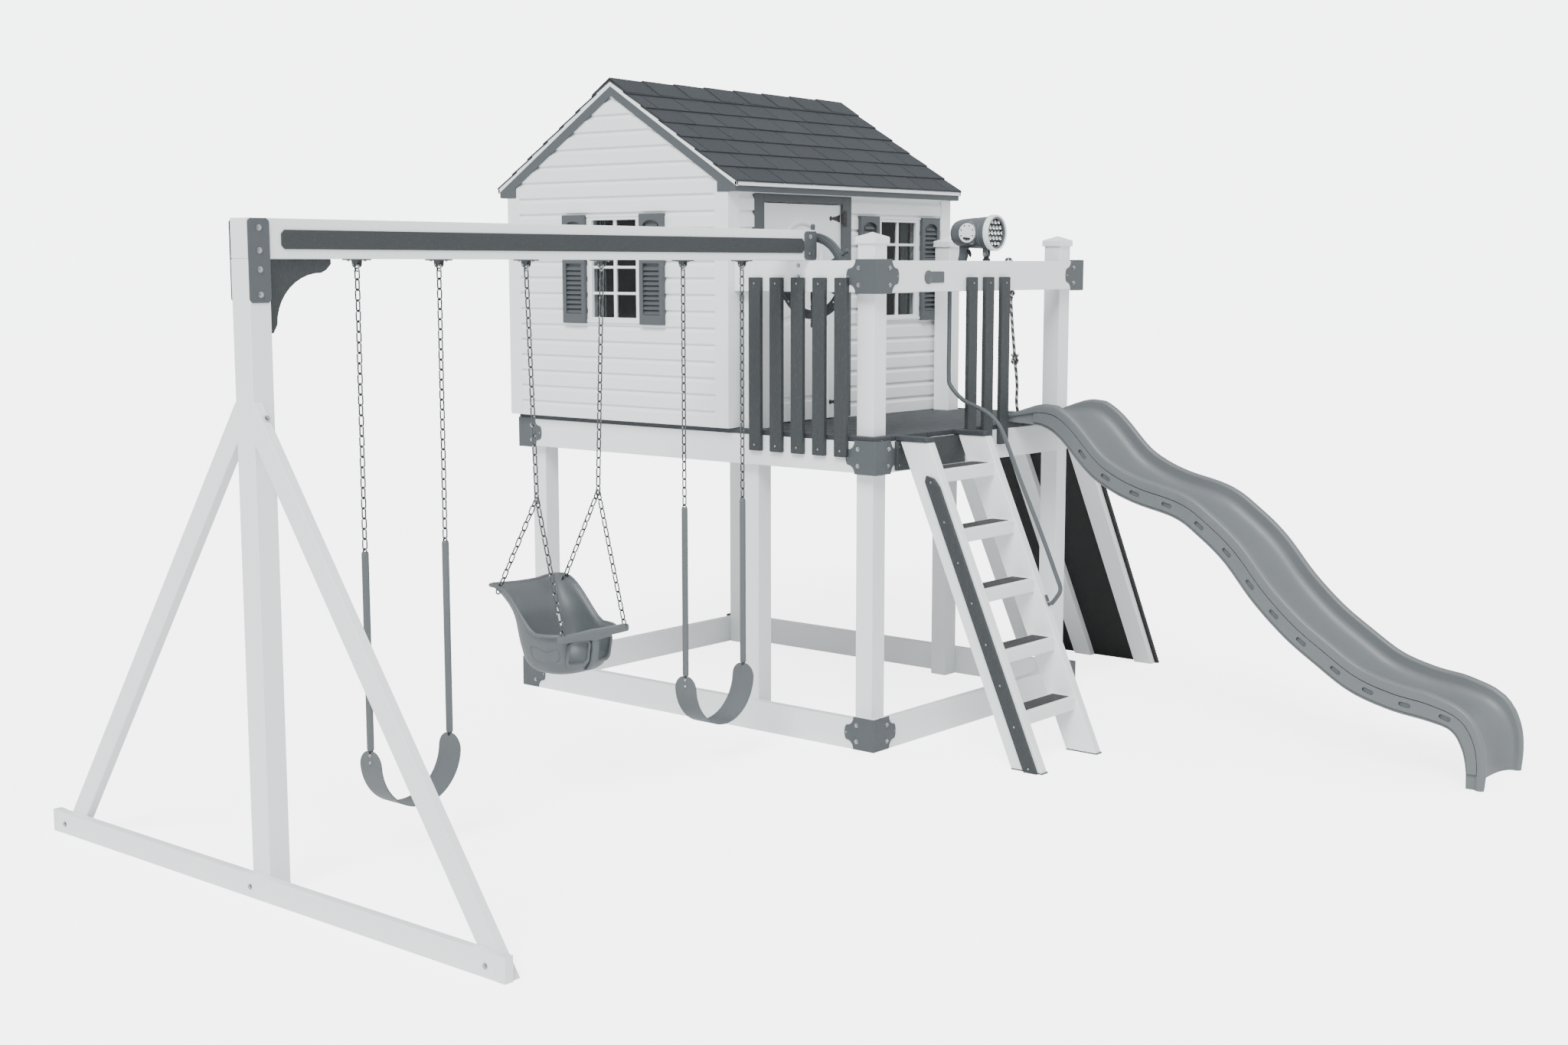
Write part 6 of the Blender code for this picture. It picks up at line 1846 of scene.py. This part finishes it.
def makeCupTree():
    tree, entry, leave = growthTree("reflectorCups", [
        ("Mouth Radius", "NodeSocketFloat", 0.014), ("Foot Radius", "NodeSocketFloat", 0.004),
        ("Depth", "NodeSocketFloat", 0.012)])
    take = entry.outputs
    cup = joinNode(tree, "GeometryNodeMeshCone", Vertices=12, Side_Segments=2, Fill_Segments=1,
                   Radius_Top=take["Foot Radius"], Radius_Bottom=take["Mouth Radius"], Depth=take["Depth"])
    cup.fill_type = "NONE"
    stood = joinNode(tree, "GeometryNodeTransform", Geometry=cup.outputs["Mesh"],
                     Rotation=(-math.pi / 2, 0.0, 0.0))
    inside = joinNode(tree, "GeometryNodeFlipFaces", Mesh=stood.outputs[0])
    cups = joinNode(tree, "GeometryNodeInstanceOnPoints", Points=take["Geometry"], Instance=inside.outputs[0])
    finishTree(tree, entry, leave, cups.outputs[0])
    return tree


def makeLamp():
    look = lampLook
    x, front, axis = look["x"], look["front"], look["axis"]
    pivotY, pivotHigh = look["pivot"]
    lamp, turntable = "searchlight_lamp", "searchlight_turntable"
    shell = bmesh.new()
    profile = [(0.0, 0.270), (0.014, 0.2695), (0.028, 0.268), (0.042, 0.264), (0.052, 0.258), (0.060, 0.249),
               (0.066, 0.238), (0.071, 0.220), (0.074, 0.200), (0.0765, 0.170), (0.079, 0.140), (0.0792, 0.116),
               (0.0775, 0.114), (0.0778, 0.107), (0.0806, 0.105), (0.0825, 0.070), (0.0810, 0.068),
               (0.0812, 0.062), (0.0838, 0.060), (0.085, 0.030), (0.080, 0.026), (0.0, 0.026)]
    addTurned(shell, profile, (x, front, axis), yAxis, 56)
    makePiece("lamp_shell", shell, "lampShell", lamp, ("searchlight_head",), smooth=30)
    bezel = bmesh.new()
    ring = look["ring"]
    addRing(bezel, [(0.0835, 0.0295), (ring - 0.001, 0.0295), (ring, 0.028), (ring, 0.008), (ring - 0.003, 0.0),
                    (ring - 0.010, 0.0005), (ring - 0.012, 0.006), (0.079, 0.012), (0.079, 0.026)],
            (x, front, axis), yAxis, 56)
    makePiece("lamp_bezel", bezel, "whitePlastic", lamp, smooth=30)
    rimForm = bmesh.new()
    addRing(rimForm, [(0.0715, 0.006), (0.0805, 0.004), (0.0812, 0.010), (0.0795, 0.018), (0.0715, 0.018)],
            (x, front, axis), yAxis, 56)
    makePiece("lamp_inner_rim", rimForm, "lampShell", lamp, smooth=30)
    well = bmesh.new()
    addTurned(well, [(0.0, 0.0240), (0.0795, 0.0240), (0.0795, 0.0255), (0.0, 0.0255)], (x, front, axis), yAxis, 40)
    makePiece("lamp_well", well, "blackPlastic", lamp, smooth=30)
    spots = [Vector((0, 0, 0))]
    pitch = look["cupPitch"]
    for q in range(-2, 3):
        for r in range(-2, 3):
            spot = Vector((pitch * (q + r / 2), 0, pitch * r * math.sqrt(3) / 2))
            if 1e-6 < spot.length < look["lensRadius"] - 0.012:
                spots.append(spot)
    mesh = bpy.data.meshes.new("places")
    mesh.from_pydata([spot + Vector((x, front + 0.0150, axis)) + home for spot in spots], [], [])
    cups = growMesh(makeCupTree(), mesh, "mirrorCup", {"Mouth Radius": 0.0138, "Foot Radius": 0.0042, "Depth": 0.016})
    mountPiece("lamp_reflector_cups", cups, "mirrorCup", lamp, smooth=60)
    domes = bmesh.new()
    for spot in spots:
        addTurned(domes, [(0.0044, 0.0236), (0.0044, 0.0150), (0.0034, 0.0125), (0.0, 0.0115)],
                  spot + Vector((x, front, axis)), yAxis, 10)
    makePiece("lamp_bulbs", domes, "whitePlastic", lamp, smooth=60)
    for side in (-1, 1):
        reach = look["dialReach"] if side < 0 else 0.083
        name = "dial" if side < 0 else "cap"
        boss = bmesh.new()
        addTurned(boss, [(0.062, 0.030), (0.060, 0.060), (0.057, reach - 0.004), (0.053, reach - 0.0012),
                         (0.0505, reach - 0.0022), (0.0, reach - 0.0022)],
                  (x, front + look["dialY"] - 0.020, axis), (side, 0, 0), 40)
        makePiece(f"lamp_{name}_collar", boss, "lampShell", lamp, smooth=30)
    disc = bmesh.new()
    plane = x - look["dialReach"]
    centreY = front + look["dialY"] - 0.020
    addTurned(disc, [(0.0505, -0.0024), (0.0500, 0.0), (0.049, 0.0006), (0.0, 0.0010)], (plane, centreY, axis),
              (-1, 0, 0), 40)
    makePiece("lamp_dial", disc, "whitePlastic", lamp, smooth=30)
    marks = bmesh.new()
    for angle in (22.5, 67.5, 112.5, 157.5, 202.5, -22.5):
        a = math.radians(angle)
        addTurned(marks, [(0.0042, 0.0), (0.0042, 0.0014), (0.0, 0.0016)],
                  (plane, centreY + 0.039 * math.cos(a), axis + 0.039 * math.sin(a)), (-1, 0, 0), 14)
    toggle = [(centreY + 0.022, axis - 0.028), (centreY + 0.020, axis - 0.022), (centreY + 0.004, axis - 0.023),
              (centreY - 0.020, axis - 0.025), (centreY - 0.023, axis - 0.030), (centreY - 0.018, axis - 0.036),
              (centreY - 0.006, axis - 0.034), (centreY - 0.004, axis - 0.039), (centreY + 0.001, axis - 0.038),
              (centreY + 0.002, axis - 0.034), (centreY + 0.018, axis - 0.033)]
    addPrism(marks, toggle, "X", plane - 0.006, plane - 0.0005)
    makePiece("lamp_dial_marks", marks, "blackPlastic", lamp, roundBy=0.0008)
    grip = bmesh.new()
    outline = [(0.203, axis - 0.052), (0.199, 2.470), (0.200, 2.455), (0.2035, 2.435), (0.205, 2.420), (0.213, 2.395),
               (0.222, 2.372), (0.228, 2.345), (0.236, 2.341), (0.262, 2.340), (0.262, 2.375), (0.256, 2.402),
               (0.250, 2.430), (0.2485, 2.455), (0.248, axis - 0.045)]
    addPrism(grip, outline, "X", x - 0.014, x + 0.014)
    makePiece("lamp_grip", grip, "lampShell", lamp, roundBy=0.005, segments=3)
    trigger = bmesh.new()
    addPrism(trigger, [(0.1990, 2.452), (0.192, 2.452), (0.186, 2.444), (0.182, 2.434), (0.180, 2.425),
                       (0.186, 2.412), (0.190, 2.420), (0.194, 2.428), (0.1990, 2.438)], "X", x - 0.006, x + 0.006)
    makePiece("lamp_trigger", trigger, "blackPlastic", "searchlight_pull", ("searchlight_trigger",), 0.0012)
    lugs = bmesh.new()
    for side in (-1, 1):
        near, far = sorted((x + side * 0.0076, x + side * 0.017))
        lug = [(pivotY - 0.014, axis - 0.074), (pivotY - 0.014, pivotHigh), (pivotY - 0.010, pivotHigh - 0.009),
               (pivotY, pivotHigh - 0.012), (pivotY + 0.010, pivotHigh - 0.009), (pivotY + 0.014, pivotHigh),
               (pivotY + 0.014, axis - 0.074)]
        addPrism(lugs, lug, "X", near, far)
        fasten("bolt", (x + side * 0.017, pivotY, pivotHigh), (side, 0, 0), lamp)
    makePiece("lamp_lugs", lugs, "lampShell", lamp, roundBy=0.001)
    softenNode("searchlight_yoke", "blackPlastic", 0.0015, 2, turntable)
    softenNode("searchlight_base", "blackPlastic", 0.0015, 2)


makeWheel()
makeLamp()
print("wheel and searchlight made")

stageLook = {"reach": 60.0, "floorTone": 0.94, "floorGlow": 3.7, "worldTone": (0.965, 0.985, 1.0),
             "worldStrength": 0.98, "seenStrength": 5.6,
             "key": {"aim": (7.0, 3.2, -7.8), "strength": 3.9, "spread": 30.0},
             "fill": {"aim": (-6.0, 7.0, -6.0), "strength": 0.55, "spread": 60.0}}


def addLight(name, look):
    data = bpy.data.lights.new(name, "SUN")
    data.energy = look["strength"]
    data.angle = math.radians(look["spread"])
    lamp = bpy.data.objects.new(name, data)
    lamp.rotation_euler = Vector(look["aim"]).to_track_quat("-Z", "Y").to_euler()
    bpy.context.scene.collection.objects.link(lamp)


def makeStage():
    look = stageLook
    mesh = bpy.data.meshes.new("floor")
    far = look["reach"]
    mesh.from_pydata([(-far, -far, 0), (far, -far, 0), (far, far, 0), (-far, far, 0)], [], [(0, 1, 2, 3)])
    mat = bpy.data.materials.new("paleFloor")
    mat.use_nodes = True
    tree = mat.node_tree
    shader = tree.nodes["Principled BSDF"]
    where = tree.nodes.new("ShaderNodeTexCoord").outputs["Object"]
    shade = rangeNode(tree, noiseNode(tree, where, 0.3, 2), 0.0, 1.0, look["floorTone"] - 0.01, look["floorTone"])
    tree.links.new(shade, shader.inputs["Base Color"])
    shader.inputs["Roughness"].default_value = 0.9
    shader.inputs["Emission Strength"].default_value = look["floorGlow"]
    tree.links.new(tree.nodes.new("ShaderNodeLightPath").outputs["Is Camera Ray"], shader.inputs["Emission Color"])
    mesh.materials.append(mat)
    floor = bpy.data.objects.new("floor", mesh)
    floor.location.z = -0.002
    bpy.context.scene.collection.objects.link(floor)
    world = bpy.data.worlds.new("softRoom")
    world.use_nodes = True
    back = world.node_tree.nodes["Background"]
    back.inputs["Color"].default_value = (*look["worldTone"], 1)
    seen = world.node_tree.nodes.new("ShaderNodeLightPath").outputs["Is Camera Ray"]
    bright = rangeNode(world.node_tree, seen, 0.0, 1.0, look["worldStrength"], look["seenStrength"])
    world.node_tree.links.new(bright, back.inputs["Strength"])
    bpy.context.scene.world = world
    addLight("key", look["key"])
    addLight("fill", look["fill"])


makeStage()
makeFasteners()
